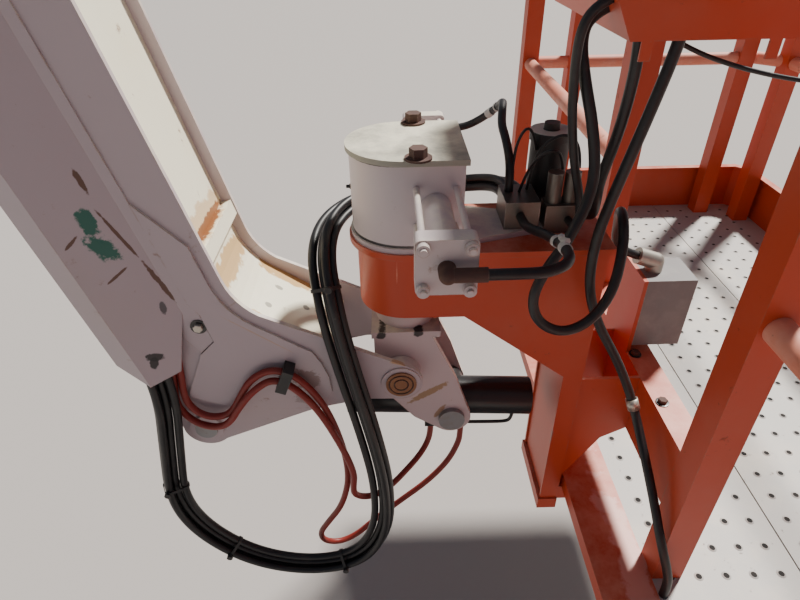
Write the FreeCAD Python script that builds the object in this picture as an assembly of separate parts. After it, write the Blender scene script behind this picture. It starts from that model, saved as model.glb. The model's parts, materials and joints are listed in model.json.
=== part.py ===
import FreeCAD, Part
import math
import os

os.makedirs("parts", exist_ok=True)

# Platform end of an articulating boom lift: jib boom, levelling knuckle, platform
# rotator, platform support and the work platform with its controls and hoses.
# Millimetres, Z up. X runs along the boom's plane from the boom to the platform, Y across.
# Every place is measured from the rotator's axis at the top face of its cover plate.
# The last step moves the origin to the pivot at the boom's root, which holds the part.

V = FreeCAD.Vector
UP = V(0, 0, 1)
ACROSS = V(0, 1, 0)

# Fits: a pin in its bore, two flat faces that turn past each other, moving pieces side by side
pinFit = 0.05
faceFit = 0.5
ringGap = 1.0
swingGap = 5.0
seat = 0.3

# Boom, seen from the side
boomHalfWidth = 94.0
boomPlate = 8.0
boomSlope = 76.0
boomDepth = 190.0
boomLength = 1552.0
coverSetBack = 70.0
flangeStep = 18.0
kneeX = -268.0
kneeZ = -218.0
noseSlope = 33.6
noseCoverLength = 194.0
mainPinX = -12.0
mainPinZ = -390.0
mainPinRadius = 26.0
mainPinProud = 6.0
earRadius = 37.0
earRingRadius = 34.0
earRingProud = 3.0
rodPinX = -361.0
rodPinZ = -484.0
rodPinRadius = 19.0
rodPinProud = 8.0
lugRadius = 42.0
lugRingRadius = 30.0
lugRingProud = 5.0
rootPinRadius = 30.0
rootBossRadius = 56.0
rootBossWidth = 12.0
bottomPlateEnd = -96.0
bottomPlateInset = 2.0
bottomPlateCorner = 24.0
kneeRadius = 110.0
kneeSteps = 6
bellyX = 150.0
bellyDrop = 54.0
earFootX = 64.0
earFootDrop = 35.0
kneeBarPlace = 70.0
kneeBarHeight = 16.0
kneeBarWidth = 26.0
doublerPlate = 5.0
doublerInset = 18.0

# Clevis for the lift cylinder
liftLugDistance = 520.0
liftLugDrop = 62.0
liftPinRadius = 20.0
liftLugRadius = 38.0
liftLugPlate = 16.0
liftLugGap = 56.0
liftLugFoot = 110.0
liftPadPlate = 8.0
liftPadOverhang = 20.0

# Hose guard on the near side of the boom
guardSheet = 3.0
guardFlange = 64.0
guardStart = 80.0
guardFold = 165.0
guardEdge = 204.0
guardStandOff = 46.0
guardReturn = 14.0
guardTopEnd = 1180.0
guardLowEnd = -84.0
# Foot of the guard on the side plate: along the boom, down from its edge
guardFoot = ((20, 80), (20, 64), (-2, 56), (-56, 58), (-73, 87), (-39, 100), (0, 88))
clampPlace = 200.0
clampHeight = 30.0
# Section of the block that grips the hoses: down from the boom's edge, out from its plate
clampSection = ((99.5, 0), (168, 0), (168, 36), (99.5, 9.5))
clipX = -202.0
clipZ = -353.0
clipLength = 18.0
clipHeight = 46.0
clipOut = 30.0
clipSlope = 23.0

# Levelling knuckle and its cylinder
knuckleHalfWidth = 62.0
knucklePlate = 14.0
knuckleTopZ = -318.0
knuckleTopPlate = 12.0
sleeveWall = 10.0
neckRadius = 52.0
barrelPinX = 81.0
barrelPinZ = -510.0
barrelPinRadius = 22.0
barrelPinHead = 24.0
barrelPinEnd = 72.0
barrelLugRadius = 36.0
barrelRadius = 37.0
barrelWall = 6.0
barrelBack = 158.0
barrelFront = 196.0
barrelCap = 14.0
glandLength = 30.0
pistonLength = 26.0
pistonPlace = 124.0
rodRadius = 16.0
rodEyeRadius = 30.0
rodEyeWidth = 44.0
trunnionRadius = 34.0
trunnionInner = 39.0
barrelPortXs = (46.0, 106.0)
barrelPortY = -20.0
barrelPortRadius = 9.0
barrelPortEnd = 52.0

# Rotator
coverRadius = 87.0
coverPlate = 8.0
drumRadius = 82.0
drumHeight = 135.0
baseFlange = 9.0
baseRadius = 85.0
tailLength = 214.0
tailHalfWidth = 26.0
rackX = 42.0
rackZ = -70.0
rackCap = 75.0
rackCapDepth = 26.0
rackCapRound = 7.0
rackReach = 247.0
rackTubeRadius = 22.0
tieSpacing = 56.0
tieRadius = 4.5
tieEnd = 14.0
tieNutRadius = 8.0
tieNutHeight = 9.0
coverBoltX = 17.0
coverBoltY = 78.0
coverBoltFlat = 22.0
coverBoltHeight = 13.0
washerRadius = 19.0
washerHeight = 3.0

# Platform support
supportHalfWidth = 77.0
supportPlate = 6.0
supportTop = 10.0
supportTopProud = 8.0
supportRingRadius = 88.5
supportBottomZ = -266.0
supportBackX = 307.0
supportSlopeX = 92.0
postFrontX = 272.0
postTopZ = -403.0
postBottomZ = -740.0
postFoot = 28.0
frontPlateInset = 4.0
gussetPlate = 6.0
gussetInset = 8.0
gussetLowZ = -680.0
beamDepth = 48.0
beamTopZ = -415.0
beamHeight = 126.0
beamPlate = 6.0
forkY = 44.0
forkWidth = 50.0
forkHeight = 38.0
forkEndX = 1190.0
sparInnerX = 470.0
sparOuterX = 1090.0
sparWidth = 50.0
sparHalfLength = 1130.0

# Work platform
floorTopZ = -684.0
floorInnerX = 412.0
floorOuterX = 1297.0
platformHalfLength = 1180.0
sillWidth = 96.0
sillPlate = 4.0
deckPlate = 3.0
deckRib = 32.0
plankWidth = 311.0
plankGap = 3.0
toeHeight = 158.0
toePlate = 4.0
toeLip = 24.0
cornerCut = 42.0
postSize = 50.0
postWall = 3.0
innerPostY = 238.0
farPostX = 560.0
farPostStep = 551.0
cornerPostSetBack = 30.0
topRailHeight = 1067.0
midRailHeight = 540.0
railRadius = 19.0
railWall = 2.5
railBend = 70.0
railSaddle = 2.0

# Gate at the near end
gateStartX = 612.0
gateEndX = 1102.0
gateGap = 8.0
gateFrameRadius = 16.0
gateWall = 2.5
gatePinRadius = 9.0
gateRise = 24.0
gateDrop = 60.0
gateEarHeight = 8.0
gatePinEnd = 17.0

# Controls
consoleStartX = 257.0
consoleEndX = 540.0
consoleLean = 34.0
consoleStartY = -118.0
consoleEndY = 228.0
consoleDrop = 26.0
consoleHeight = 190.0
consoleSlope = 96.0
consoleSheet = 3.0
strapWidth = 30.0
strapHalf = 20.0
leverY = 80.0
leverRadius = 7.0
gripRadius = 15.0
boxWidth = 86.0
boxDepth = 78.0
boxHeight = 140.0
boxY = 0.0
boxTopZ = -259.0
bracketPlate = 7.0
bracketLength = 116.0
bracketFoot = 42.0
elbowRadius = 15.0
elbowPlace = 22.0
elbowRise = 18.0

# Valves beside the rotator
valveX = 152.0
valveY = -30.0
valveLength = 53.0
valveWidth = 70.0
valveHeight = 44.0
coilRadius = 12.0
coilHeight = 48.0
coilStep = 26.0
coilBaseWidth = 34.7
coilBaseHeight = 46.0
canisterX = 232.0
canisterY = 60.0
canisterRadius = 30.0
canisterHeight = 120.0
lidHeight = 14.0
lidOverhang = 3.0
knobRadius = 12.0
portRadius = 11.0
portStandOff = 5.0
portArm = 46.0

# Hoses and cables: radii, pitch of the black bundle, share of a run that each bend takes
blackRadius = 7.0
redRadius = 6.0
cableRadius = 7.5
thinCableRadius = 6.0
bundlePitch = 15.2
bundleRow = 13.4
bendShare = 0.45
joinGap = 0.02

# Worked out from the sizes above
slope = math.radians(boomSlope)
rise = V(-math.cos(slope), 0, math.sin(slope))
inward = V(-math.sin(slope), 0, -math.cos(slope))
noseAngle = math.radians(noseSlope)
noseDirection = V(math.cos(noseAngle), 0, -math.sin(noseAngle))
noseNormal = V(-math.sin(noseAngle), 0, -math.cos(noseAngle))
knee = V(kneeX, 0, kneeZ)
boomInner = boomHalfWidth - boomPlate
boomWide = 4 * boomHalfWidth
root = knee + rise * boomLength + inward * (boomDepth / 2)
mainPin = V(mainPinX, 0, mainPinZ)
rodPin = V(rodPinX, 0, rodPinZ)
barrelPin = V(barrelPinX, 0, barrelPinZ)
drumBottomZ = -drumHeight
supportTopZ = drumBottomZ - baseFlange
supportUnderZ = supportTopZ - supportTop
frameTopZ = floorTopZ - deckRib
frameBottomZ = frameTopZ - forkHeight
beamBottomZ = beamTopZ - beamHeight
railZ = floorTopZ + topRailHeight - railRadius
midRailZ = floorTopZ + midRailHeight


def save(shape, node):
    """Move the finished piece so that the boom's pivot is the origin, and write it."""
    moved = shape.copy()
    moved.translate(-root)
    moved.exportStep("parts/" + node + ".step")
    volume = sum(s.Volume for s in moved.Solids)
    print(node, len(moved.Solids), "solids", round(volume / 1000), "cm3", "valid", moved.isValid())


def onBoom(along, depth):
    """A point on the boom: along it from the knee, and down from its upper edge."""
    return knee + rise * along + inward * depth


def onNose(along, depth):
    """A point on the nose: along it from the knee, and down from its upper edge."""
    return knee + noseDirection * along + noseNormal * depth


def atKnee(depth):
    """Where the boom's and the nose's lines meet, both drawn back by that depth."""
    return knee + (inward + noseNormal) * (depth / (1 + inward.dot(noseNormal)))


def prism(points, direction):
    """The outline given as points, made solid along the direction."""
    return Part.Face(Part.makePolygon(points + [points[0]])).extrude(direction)


def flat(points, width, middle=0.0):
    """A side-view outline made a plate of that width about Y = middle."""
    moved = [V(p.x, middle - width / 2, p.z) for p in points]
    return prism(moved, ACROSS * width)


def upright(points, z0, z1):
    """A plan-view outline given as (x, y), made solid from z0 to z1."""
    return prism([V(x, y, z0) for x, y in points], UP * (z1 - z0))


def disc(centre, radius, width, middle=0.0):
    return Part.makeCylinder(radius, width, V(centre.x, middle - width / 2, centre.z), ACROSS)


def block(x0, x1, y0, y1, z0, z1):
    return Part.makeBox(x1 - x0, y1 - y0, z1 - z0, V(x0, y0, z0))


def bar(start, end, radius):
    line = end - start
    return Part.makeCylinder(radius, line.Length, start, line)


def fused(shapes):
    whole = shapes[0]
    for shape in shapes[1:]:
        whole = whole.fuse(shape)
    return whole.removeSplitter()


def together(shapes):
    return Part.makeCompound(shapes)


def mirrored(shape):
    return shape.mirror(V(0, 0, 0), ACROSS)


def bothSides(shape):
    return [shape, mirrored(shape)]


# Boom


def kneeArc(depth, start, end):
    """Points round the knee at that depth; start and end count from the boom, 0, to the nose, 1."""
    centre = atKnee(-kneeRadius)
    steps = round(kneeSteps * (end - start))
    points = []
    for step in range(steps + 1):
        turn = slope + (noseAngle - slope) * (start + (end - start) * step / steps)
        points.append(centre - V(math.sin(turn), 0, math.cos(turn)) * (kneeRadius + depth))
    return points


def boomOutline():
    """Boom's side plate, down to the seam across the knee."""
    seam = kneeArc(0, 0, 0.5) + [atKnee(boomDepth)]
    return [onBoom(boomLength, 0)] + seam + [onBoom(boomLength, boomDepth)]


def noseOutline():
    """Nose's side plate, from the seam round the pins by way of their centres."""
    return kneeArc(0, 0.5, 1) + [
        mainPin - noseNormal * earRadius,
        mainPin,
        mainPin - UP * earRadius,
        V(mainPinX - earFootX, 0, mainPinZ - earFootDrop),
        V(mainPinX - bellyX, 0, mainPinZ - bellyDrop),
        rodPin - UP * lugRadius,
        rodPin - V(lugRadius, 0, 0),
        onBoom(bottomPlateEnd - bottomPlateCorner, boomDepth),
        atKnee(boomDepth),
    ]


def sidePlates(outline, bosses):
    """Both side plates of that outline; bosses are the centre, outer and bore radius at each pin."""
    middle = -(boomHalfWidth - boomPlate / 2)
    discs = [disc(centre, outer, boomPlate, middle) for centre, outer, bore in bosses]
    plate = fused([flat(outline, boomPlate, middle)] + discs)
    for centre, outer, bore in bosses:
        plate = plate.cut(disc(centre, bore + pinFit, boomWide))
    return together(bothSides(plate))


def boomTopPlate():
    """One bent plate, set down between the side plates."""
    end = boomLength - coverSetBack
    under = flangeStep + boomPlate
    top = [onBoom(end, flangeStep)] + kneeArc(flangeStep, 0, 1) + [onNose(noseCoverLength, flangeStep)]
    low = [onBoom(end, under)] + kneeArc(under, 0, 1) + [onNose(noseCoverLength, under)]
    return flat(top + low[::-1], 2 * boomInner)


def boomStrip(alongA, alongB, depthA, depthB, halfWidth):
    points = [
        onBoom(alongA, depthA),
        onBoom(alongB, depthA),
        onBoom(alongB, depthB),
        onBoom(alongA, depthB),
    ]
    return flat(points, 2 * halfWidth)


bottomOuter = boomDepth - bottomPlateInset
bottomInner = bottomOuter - boomPlate
bottomPlate = boomStrip(boomLength - coverSetBack, bottomPlateEnd, bottomInner, bottomOuter, boomInner)
nosePins = [(mainPin, earRadius, mainPinRadius), (rodPin, lugRadius, rodPinRadius)]
save(sidePlates(boomOutline(), [(root, boomDepth / 2, rootPinRadius)]), "boom_side_plates")
save(sidePlates(noseOutline(), nosePins), "nose_side_plates")
save(together([boomTopPlate(), bottomPlate]), "boom_cover_plates")

# Bar across the top plate above the knee
kneeBarEnd = kneeBarPlace + kneeBarWidth
save(boomStrip(kneeBarPlace, kneeBarEnd, flangeStep - kneeBarHeight, flangeStep, boomInner), "boom_knee_bar")


def noseDoubler():
    """Plate on the side plate round the knee, cut away for the hose guard and its foot."""
    edge = [onBoom(192, 63), onBoom(111, doublerInset)] + kneeArc(doublerInset, 0, 1)
    front = [onNose(147, doublerInset), onNose(171, 31), onNose(195, 50), onNose(217, 77)]
    belly = [V(-153, 0, -439), V(-292, 0, -437), V(-375, 0, -403)]
    guardSide = [onBoom(-75, 88), onBoom(-57, 56.5), onBoom(-2, 54.5), onBoom(22, 63)]
    return flat(edge + front + belly + guardSide, doublerPlate, -(boomHalfWidth + doublerPlate / 2))


save(together(bothSides(noseDoubler())), "nose_doublers")


def pinRings(centre, pinRadius, ringRadius, innerEnd, outerEnd):
    """Rings on both faces of a side plate, from innerEnd to outerEnd off the middle."""
    rings = []
    for y0, y1 in ((innerEnd, boomInner), (boomHalfWidth, outerEnd)):
        ring = disc(centre, ringRadius, y1 - y0, (y0 + y1) / 2)
        rings.append(ring.cut(disc(centre, pinRadius + pinFit, boomWide)))
    return rings


rodEyeGap = rodEyeWidth / 2 + swingGap
rings = (
    pinRings(mainPin, mainPinRadius, earRingRadius, knuckleHalfWidth + ringGap, boomHalfWidth + earRingProud)
    + pinRings(rodPin, rodPinRadius, lugRingRadius, rodEyeGap, boomHalfWidth + lugRingProud)
    + pinRings(root, rootPinRadius, rootBossRadius, boomInner - rootBossWidth, boomHalfWidth + rootBossWidth)
)
save(together(rings + [mirrored(ring) for ring in rings]), "boom_pin_bosses")

# Pins that the boom carries; the rod's pin is split, its middle is part of the rod's eye
save(disc(mainPin, mainPinRadius, 2 * (boomHalfWidth + mainPinProud)), "main_pin")
rodPinLength = boomHalfWidth + rodPinProud - rodEyeGap
rodPinEnd = disc(rodPin, rodPinRadius, rodPinLength, rodEyeGap + rodPinLength / 2)
save(together(bothSides(rodPinEnd)), "rod_pin_ends")

# Clevis under the boom for the lift cylinder
liftFoot = onBoom(boomLength - liftLugDistance, bottomOuter)
liftPin = liftFoot + inward * liftLugDrop


def liftLug(middle):
    points = [
        liftFoot + rise * liftLugFoot,
        liftFoot - rise * liftLugFoot,
        liftPin - rise * liftLugRadius,
        liftPin + rise * liftLugRadius,
    ]
    return fused([flat(points, liftLugPlate, middle), disc(liftPin, liftLugRadius, liftLugPlate, middle)])


liftLugY = (liftLugGap + liftLugPlate) / 2
padEnd = liftLugFoot + liftPadOverhang
padShape = [liftFoot + rise * padEnd, liftFoot - rise * padEnd]
padShape += [p + inward * liftPadPlate for p in reversed(padShape)]
liftPad = flat(padShape, 2 * (liftLugY + liftLugPlate))
liftClevis = fused([liftPad, liftLug(-liftLugY), liftLug(liftLugY)])
save(liftClevis.cut(disc(liftPin, liftPinRadius, boomWide)), "boom_lift_clevis")

# Hose guard: a bent sheet that stands off the near side plate and folds back


def guardPoint(along, depth, out):
    return onBoom(along, depth) - ACROSS * (boomHalfWidth + out)


def guardSolid():
    """The guard's folded section run along the boom, its ends cut on the slant, with a foot."""
    edgeOut = guardStandOff - guardReturn
    folds = [(guardFlange, 0), (guardStart, 0), (guardFold, guardStandOff), (guardEdge, edgeOut)]
    outline = [guardPoint(guardLowEnd, depth, out + guardSheet) for depth, out in folds]
    outline += [guardPoint(guardLowEnd, depth, out) for depth, out in reversed(folds)]
    sheet = prism(outline, rise * (guardTopEnd - guardLowEnd))
    lowCut = [
        onBoom(guardLowEnd - 40, guardFlange - 40),
        onBoom(40, guardFlange - 40),
        onBoom(6, guardStart),
        onBoom(guardLowEnd - 12, guardStart + 46),
    ]
    edgeCut = [
        onBoom(guardLowEnd - 20, guardFold + 2),
        onBoom(guardLowEnd + 2, guardFold + 2),
        onBoom(guardLowEnd + 60, guardEdge + 12),
        onBoom(guardLowEnd - 20, guardEdge + 30),
    ]
    foot = prism([guardPoint(along, depth, 0) for along, depth in guardFoot], -ACROSS * guardSheet)
    return fused([sheet.cut(flat(lowCut, boomWide)).cut(flat(edgeCut, boomWide)), foot])


save(guardSolid(), "hose_guard")

# Knuckle: two plates and a top plate, with a sleeve round the main pin
knuckleInner = knuckleHalfWidth - knucklePlate


def knuckleSide(middle):
    points = [
        V(-56, 0, knuckleTopZ),
        V(43, 0, knuckleTopZ),
        V(87, 0, knuckleTopZ - 97),
        barrelPin + V(barrelLugRadius, 0, 4),
        barrelPin,
        barrelPin + V(-20, 0, 6 - barrelLugRadius),
        V(mainPinX + 24, 0, mainPinZ - 116),
        V(mainPinX - 22, 0, mainPinZ - 58),
        V(-56, 0, mainPinZ - 14),
    ]
    return fused([flat(points, knucklePlate, middle), disc(barrelPin, barrelLugRadius, knucklePlate, middle)])


def knuckleSolid():
    sideY = knuckleHalfWidth - knucklePlate / 2
    top = block(-60, 56, -knuckleHalfWidth, knuckleHalfWidth, knuckleTopZ, knuckleTopZ + knuckleTopPlate)
    sleeve = disc(mainPin, mainPinRadius + sleeveWall, 2 * knuckleInner)
    web = block(-54, -42, -knuckleInner, knuckleInner, mainPinZ, knuckleTopZ)
    solid = fused([knuckleSide(-sideY), knuckleSide(sideY), top, sleeve, web])
    solid = solid.cut(disc(mainPin, mainPinRadius + pinFit, boomWide))
    return solid.cut(disc(barrelPin, barrelPinRadius + pinFit, boomWide))


save(knuckleSolid(), "knuckle")
neckBottomZ = knuckleTopZ + knuckleTopPlate
neckTopZ = supportTopZ - seat
save(Part.makeCylinder(neckRadius, neckTopZ - neckBottomZ, V(0, 0, neckBottomZ)), "rotator_neck")


def barrelPinSolid():
    """Short pin with a head, from the cylinder's trunnion out through the knuckle's plate."""
    stem = disc(barrelPin, barrelPinRadius, barrelPinEnd - trunnionInner, (barrelPinEnd + trunnionInner) / 2)
    headLength = barrelPinEnd - knuckleHalfWidth
    return fused([stem, disc(barrelPin, barrelPinHead, headLength, barrelPinEnd - headLength / 2)])


save(together(bothSides(barrelPinSolid())), "barrel_pins")

# Level cylinder, from the rod's pin on the boom to the trunnion on the knuckle
cylinderAxis = rodPin - barrelPin
cylinderAxis.normalize()
boreRadius = barrelRadius - barrelWall


def onCylinder(distance):
    """A point on the cylinder's axis, from the trunnion towards the rod's eye."""
    return barrelPin + cylinderAxis * distance


barrelPorts = [V(x, barrelPortY, barrelPinZ - barrelPortEnd) for x in barrelPortXs]


def levelBarrel():
    trunnionHalf = knuckleInner - faceFit
    stubs = [bar(end, end + UP * (barrelPortEnd - barrelPortRadius), barrelPortRadius) for end in barrelPorts]
    solid = fused([
        bar(onCylinder(-barrelBack), onCylinder(barrelFront), barrelRadius),
        disc(barrelPin, trunnionRadius, 2 * trunnionHalf),
    ] + stubs)
    bore = bar(onCylinder(barrelCap - barrelBack), onCylinder(barrelFront - glandLength), boreRadius)
    solid = solid.cut(bore)
    solid = solid.cut(bar(onCylinder(0), onCylinder(barrelFront + glandLength), rodRadius + pinFit))
    pinLength = knuckleHalfWidth - trunnionInner
    pinMiddle = trunnionInner + pinLength / 2
    for hole in bothSides(disc(barrelPin, barrelPinRadius + pinFit, pinLength, pinMiddle)):
        solid = solid.cut(hole)
    return solid


def levelRod():
    eyeDistance = (rodPin - barrelPin).Length
    rod = bar(onCylinder(pistonPlace), onCylinder(eyeDistance - rodEyeRadius / 2), rodRadius)
    piston = bar(onCylinder(pistonPlace), onCylinder(pistonPlace + pistonLength), boreRadius - pinFit)
    eye = disc(rodPin, rodEyeRadius, rodEyeWidth)
    pinMiddle = disc(rodPin, rodPinRadius, rodEyeWidth + swingGap)
    return fused([rod, piston, eye, pinMiddle])


save(levelBarrel(), "level_cylinder_barrel")
save(levelRod(), "level_cylinder_rod")

# Rotator


def dOutline(radius, z, height):
    """Half round towards the boom, square towards the platform."""
    nose = Part.makeCylinder(radius, height, V(0, 0, z))
    return fused([nose, block(0, radius, -radius, radius, z, z + height)])


save(dOutline(coverRadius, -coverPlate, coverPlate), "rotator_cover_plate")
save(dOutline(drumRadius, drumBottomZ, drumHeight - coverPlate), "rotator_housing")


def hexagon(x, y, z, acrossFlats, height):
    reach = acrossFlats / 2 / math.cos(math.pi / 6)
    angles = [k * math.pi / 3 for k in range(6)]
    corners = [(x + reach * math.cos(a), y + reach * math.sin(a)) for a in angles]
    return upright(corners, z, z + height)


def coverBolt():
    washer = Part.makeCylinder(washerRadius, washerHeight, V(coverBoltX, coverBoltY, 0))
    return fused([washer, hexagon(coverBoltX, coverBoltY, washerHeight, coverBoltFlat, coverBoltHeight)])


save(together(bothSides(coverBolt())), "rotator_cover_bolts")


def rackCylinder():
    """Cylinder at the rack's near end: square head, tube and four tie rods."""
    y0 = -rackReach
    half = rackCap / 2
    cap = block(rackX - half, rackX + half, y0, y0 + rackCapDepth, rackZ - half, rackZ + half)
    cap = cap.makeFillet(rackCapRound, [e for e in cap.Edges if abs(e.tangentAt(e.FirstParameter).y) > 0.99])
    pieces = [cap, bar(V(rackX, y0 + rackCapDepth, rackZ), V(rackX, -drumRadius, rackZ), rackTubeRadius)]
    for sx in (-1, 1):
        for sz in (-1, 1):
            at = V(rackX + sx * tieSpacing / 2, 0, rackZ + sz * tieSpacing / 2)
            pieces.append(bar(at + ACROSS * (y0 - tieEnd), at - ACROSS * drumRadius, tieRadius))
            pieces.append(bar(at + ACROSS * (y0 - tieNutHeight), at + ACROSS * y0, tieNutRadius))
    return fused(pieces)


rack = rackCylinder()
save(together(bothSides(rack)), "rack_cylinders")


portCorner = V(rackX, -rackReach - portRadius - portStandOff, rackZ)
portEnd = portCorner + V(portArm, 0, 0)


def portFitting():
    """Elbow in the head of the rack's cylinder."""
    stub = bar(V(rackX, -rackReach, rackZ), portCorner, portRadius)
    arm = bar(portCorner, portEnd, portRadius - 2)
    return fused([stub, Part.makeSphere(portRadius, portCorner), arm]).cut(rack)


save(together(bothSides(portFitting())), "port_fittings")


def baseFlangeSolid():
    """Round flange under the housing, with a tail that carries the valves."""
    ring = Part.makeCylinder(baseRadius, baseFlange, V(0, 0, supportTopZ))
    side = baseRadius * math.cos(math.asin(20 / baseRadius))
    tail = [(20, -side), (tailLength, -tailHalfWidth), (tailLength, tailHalfWidth), (20, side)]
    return fused([ring, upright(tail, supportTopZ, drumBottomZ)])


save(baseFlangeSolid(), "rotator_base_flange")

# Platform support: a bent sheet round the neck, back to the post, under a top plate


def supportTopPlate():
    half = supportHalfWidth + supportTopProud
    ring = Part.makeCylinder(supportRingRadius, supportTop, V(0, 0, supportUnderZ))
    back = block(0, supportBackX + supportPlate, -half, half, supportUnderZ, supportTopZ)
    hole = Part.makeCylinder(neckRadius + swingGap, supportTop, V(0, 0, supportUnderZ))
    return fused([ring, back]).cut(hole)


def supportSides():
    points = [
        V(0, 0, supportUnderZ),
        V(supportBackX, 0, supportUnderZ),
        V(supportBackX, 0, postBottomZ),
        V(postFrontX, 0, postBottomZ),
        V(postFrontX, 0, postTopZ),
        V(supportSlopeX, 0, supportBottomZ),
        V(0, 0, supportBottomZ),
    ]
    side = flat(points, supportPlate, -(supportHalfWidth - supportPlate / 2))
    height = supportUnderZ - supportBottomZ
    ring = Part.makeCylinder(supportHalfWidth, height, V(0, 0, supportBottomZ))
    ring = ring.cut(Part.makeCylinder(supportHalfWidth - supportPlate, height, V(0, 0, supportBottomZ)))
    ring = ring.common(block(-coverRadius, 0, -coverRadius, coverRadius, supportBottomZ, supportUnderZ))
    return fused([ring] + bothSides(side))


def postPlates():
    """The plates that close the post: sloping front, back and foot."""
    inner = supportHalfWidth - supportPlate
    x = postFrontX + frontPlateInset
    front = [
        V(supportSlopeX + 30, 0, supportBottomZ - 12),
        V(x, 0, postTopZ + 3),
        V(x, 0, postBottomZ),
        V(x + supportPlate, 0, postBottomZ),
        V(x + supportPlate, 0, postTopZ + 8),
        V(supportSlopeX + 33, 0, supportBottomZ - 6),
    ]
    back = block(supportBackX - supportPlate, supportBackX, -inner, inner, postBottomZ, supportUnderZ)
    half = supportHalfWidth + frontPlateInset
    foot = block(postFrontX - frontPlateInset, supportBackX, -half, half, postBottomZ - postFoot, postBottomZ)
    return fused([flat(front, 2 * inner), back, foot])


def gusset():
    points = [
        V(supportBackX, 0, beamTopZ),
        V(floorInnerX, 0, beamTopZ),
        V(floorInnerX, 0, beamBottomZ),
        V(floorInnerX - 44, 0, beamBottomZ - 26),
        V(supportBackX, 0, gussetLowZ),
    ]
    return flat(points, gussetPlate, -(supportHalfWidth - gussetInset))


save(supportTopPlate(), "support_top_plate")
save(supportSides(), "support_side_plates")
save(postPlates(), "support_post_plates")
save(together(bothSides(gusset())), "support_gussets")

# Floor frame under the deck: two forks from the post and two spars along the platform


def trough(x0, x1, y0, y1, z0, z1, sheet):
    """A plate whose two long edges are folded down."""
    top = block(x0, x1, y0, y1, z1 - sheet, z1)
    if x1 - x0 > y1 - y0:
        walls = [block(x0, x1, y0, y0 + sheet, z0, z1), block(x0, x1, y1 - sheet, y1, z0, z1)]
    else:
        walls = [block(x0, x0 + sheet, y0, y1, z0, z1), block(x1 - sheet, x1, y0, y1, z0, z1)]
    return fused([top] + walls)


def floorFrame():
    pieces = []
    for y in (-forkY, forkY):
        y0 = y - forkWidth / 2
        pieces.append(trough(supportBackX, forkEndX, y0, y0 + forkWidth, frameBottomZ, frameTopZ, beamPlate))
    for x in (sparInnerX, sparOuterX):
        ends = sparHalfLength
        pieces.append(trough(x, x + sparWidth, -ends, ends, frameBottomZ, frameTopZ, beamPlate))
    return fused(pieces)


def crossChannel():
    """Channel on edge between the two inner posts, its web towards the boom."""
    x0 = floorInnerX
    x1 = floorInnerX + beamDepth
    y = innerPostY
    web = block(x0, x0 + beamPlate, -y, y, beamBottomZ, beamTopZ)
    low = block(x0, x1, -y, y, beamBottomZ, beamBottomZ + beamPlate)
    high = block(x0, x1, -y, y, beamTopZ - beamPlate, beamTopZ)
    return fused([web, low, high])


save(floorFrame(), "platform_floor_frame")
save(crossChannel(), "platform_cross_channel")

# Deck: sill on the boom's side and three planks with folded edges
endY = platformHalfLength
sillInner = floorInnerX - sillWidth
save(trough(sillInner, floorInnerX, -endY, endY, frameTopZ, floorTopZ, sillPlate), "platform_inner_sill")


def cornerCutter(side):
    """Prism that takes an outer corner off the deck, up to the toe board's inner face."""
    c = cornerCut + toePlate * math.sqrt(2)
    y = side * endY
    corner = [(floorOuterX - c, y), (floorOuterX, y), (floorOuterX, y - side * c)]
    return upright(corner, frameTopZ - toeHeight, floorTopZ + toeHeight)


def deck():
    firstSeam = floorOuterX - 2 * plankWidth
    edges = [floorInnerX, firstSeam, firstSeam + plankWidth, floorOuterX - toePlate + plankGap]
    planks = []
    for x0, x1 in zip(edges, edges[1:]):
        half = endY - toePlate
        plank = trough(x0, x1 - plankGap, -half, half, frameTopZ, floorTopZ, deckPlate)
        planks.append(plank.cut(cornerCutter(1)).cut(cornerCutter(-1)))
    return together(planks)


save(deck(), "platform_floor")

# Toe boards with a lip at the top


def toeBoard(points):
    """Upright sheet along a plan outline, its lip folded inwards."""
    pieces = []
    low = frameTopZ
    high = floorTopZ + toeHeight
    for (ax, ay), (bx, by) in zip(points, points[1:]):
        length = math.hypot(bx - ax, by - ay)
        for reach, z0 in ((toePlate, low), (toeLip, high - toePlate)):
            nx, ny = (ay - by) / length * reach, (bx - ax) / length * reach
            strip = [(ax, ay), (bx, by), (bx + nx, by + ny), (ax + nx, ay + ny)]
            pieces.append(upright(strip, z0, high))
    return fused(pieces)


cutX = floorOuterX - cornerCut
cutY = endY - cornerCut
roundBoard = toeBoard([
    (gateEndX, -endY),
    (cutX, -endY),
    (floorOuterX, -cutY),
    (floorOuterX, cutY),
    (cutX, endY),
    (floorInnerX, endY),
])
gateSideBoard = toeBoard([(floorInnerX, -endY), (gateStartX, -endY)])
save(together([roundBoard, gateSideBoard]), "toe_boards")

# Rails: bent tubes all round between the gate's posts
postLine = toeLip + seat + postSize / 2
endRailY = endY - postLine
innerRailX = floorInnerX + postSize / 2
outerRailX = floorOuterX - postLine
gatePostStart = gateStartX - gateGap - postSize / 2
gatePostEnd = gateEndX + gateGap + postSize / 2
farSide = [
    (gatePostEnd, -endRailY),
    (outerRailX - railBend, -endRailY),
    (outerRailX, railBend - endRailY),
    (outerRailX, endRailY - railBend),
    (outerRailX - railBend, endRailY),
    (innerRailX, endRailY),
]
nearSide = [(innerRailX, -endRailY), (gatePostStart, -endRailY)]
innerPostMiddle = innerPostY + postSize / 2


def tube(points, radius):
    """Round bar through the points with ball corners."""
    runs = [bar(a, b, radius) for a, b in zip(points, points[1:])]
    return fused(runs + [Part.makeSphere(radius, p) for p in points[1:-1]])


def rail(plan, z):
    points = [V(x, y, z) for x, y in plan]
    return tube(points, railRadius), tube(points, railRadius - railWall)


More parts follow.
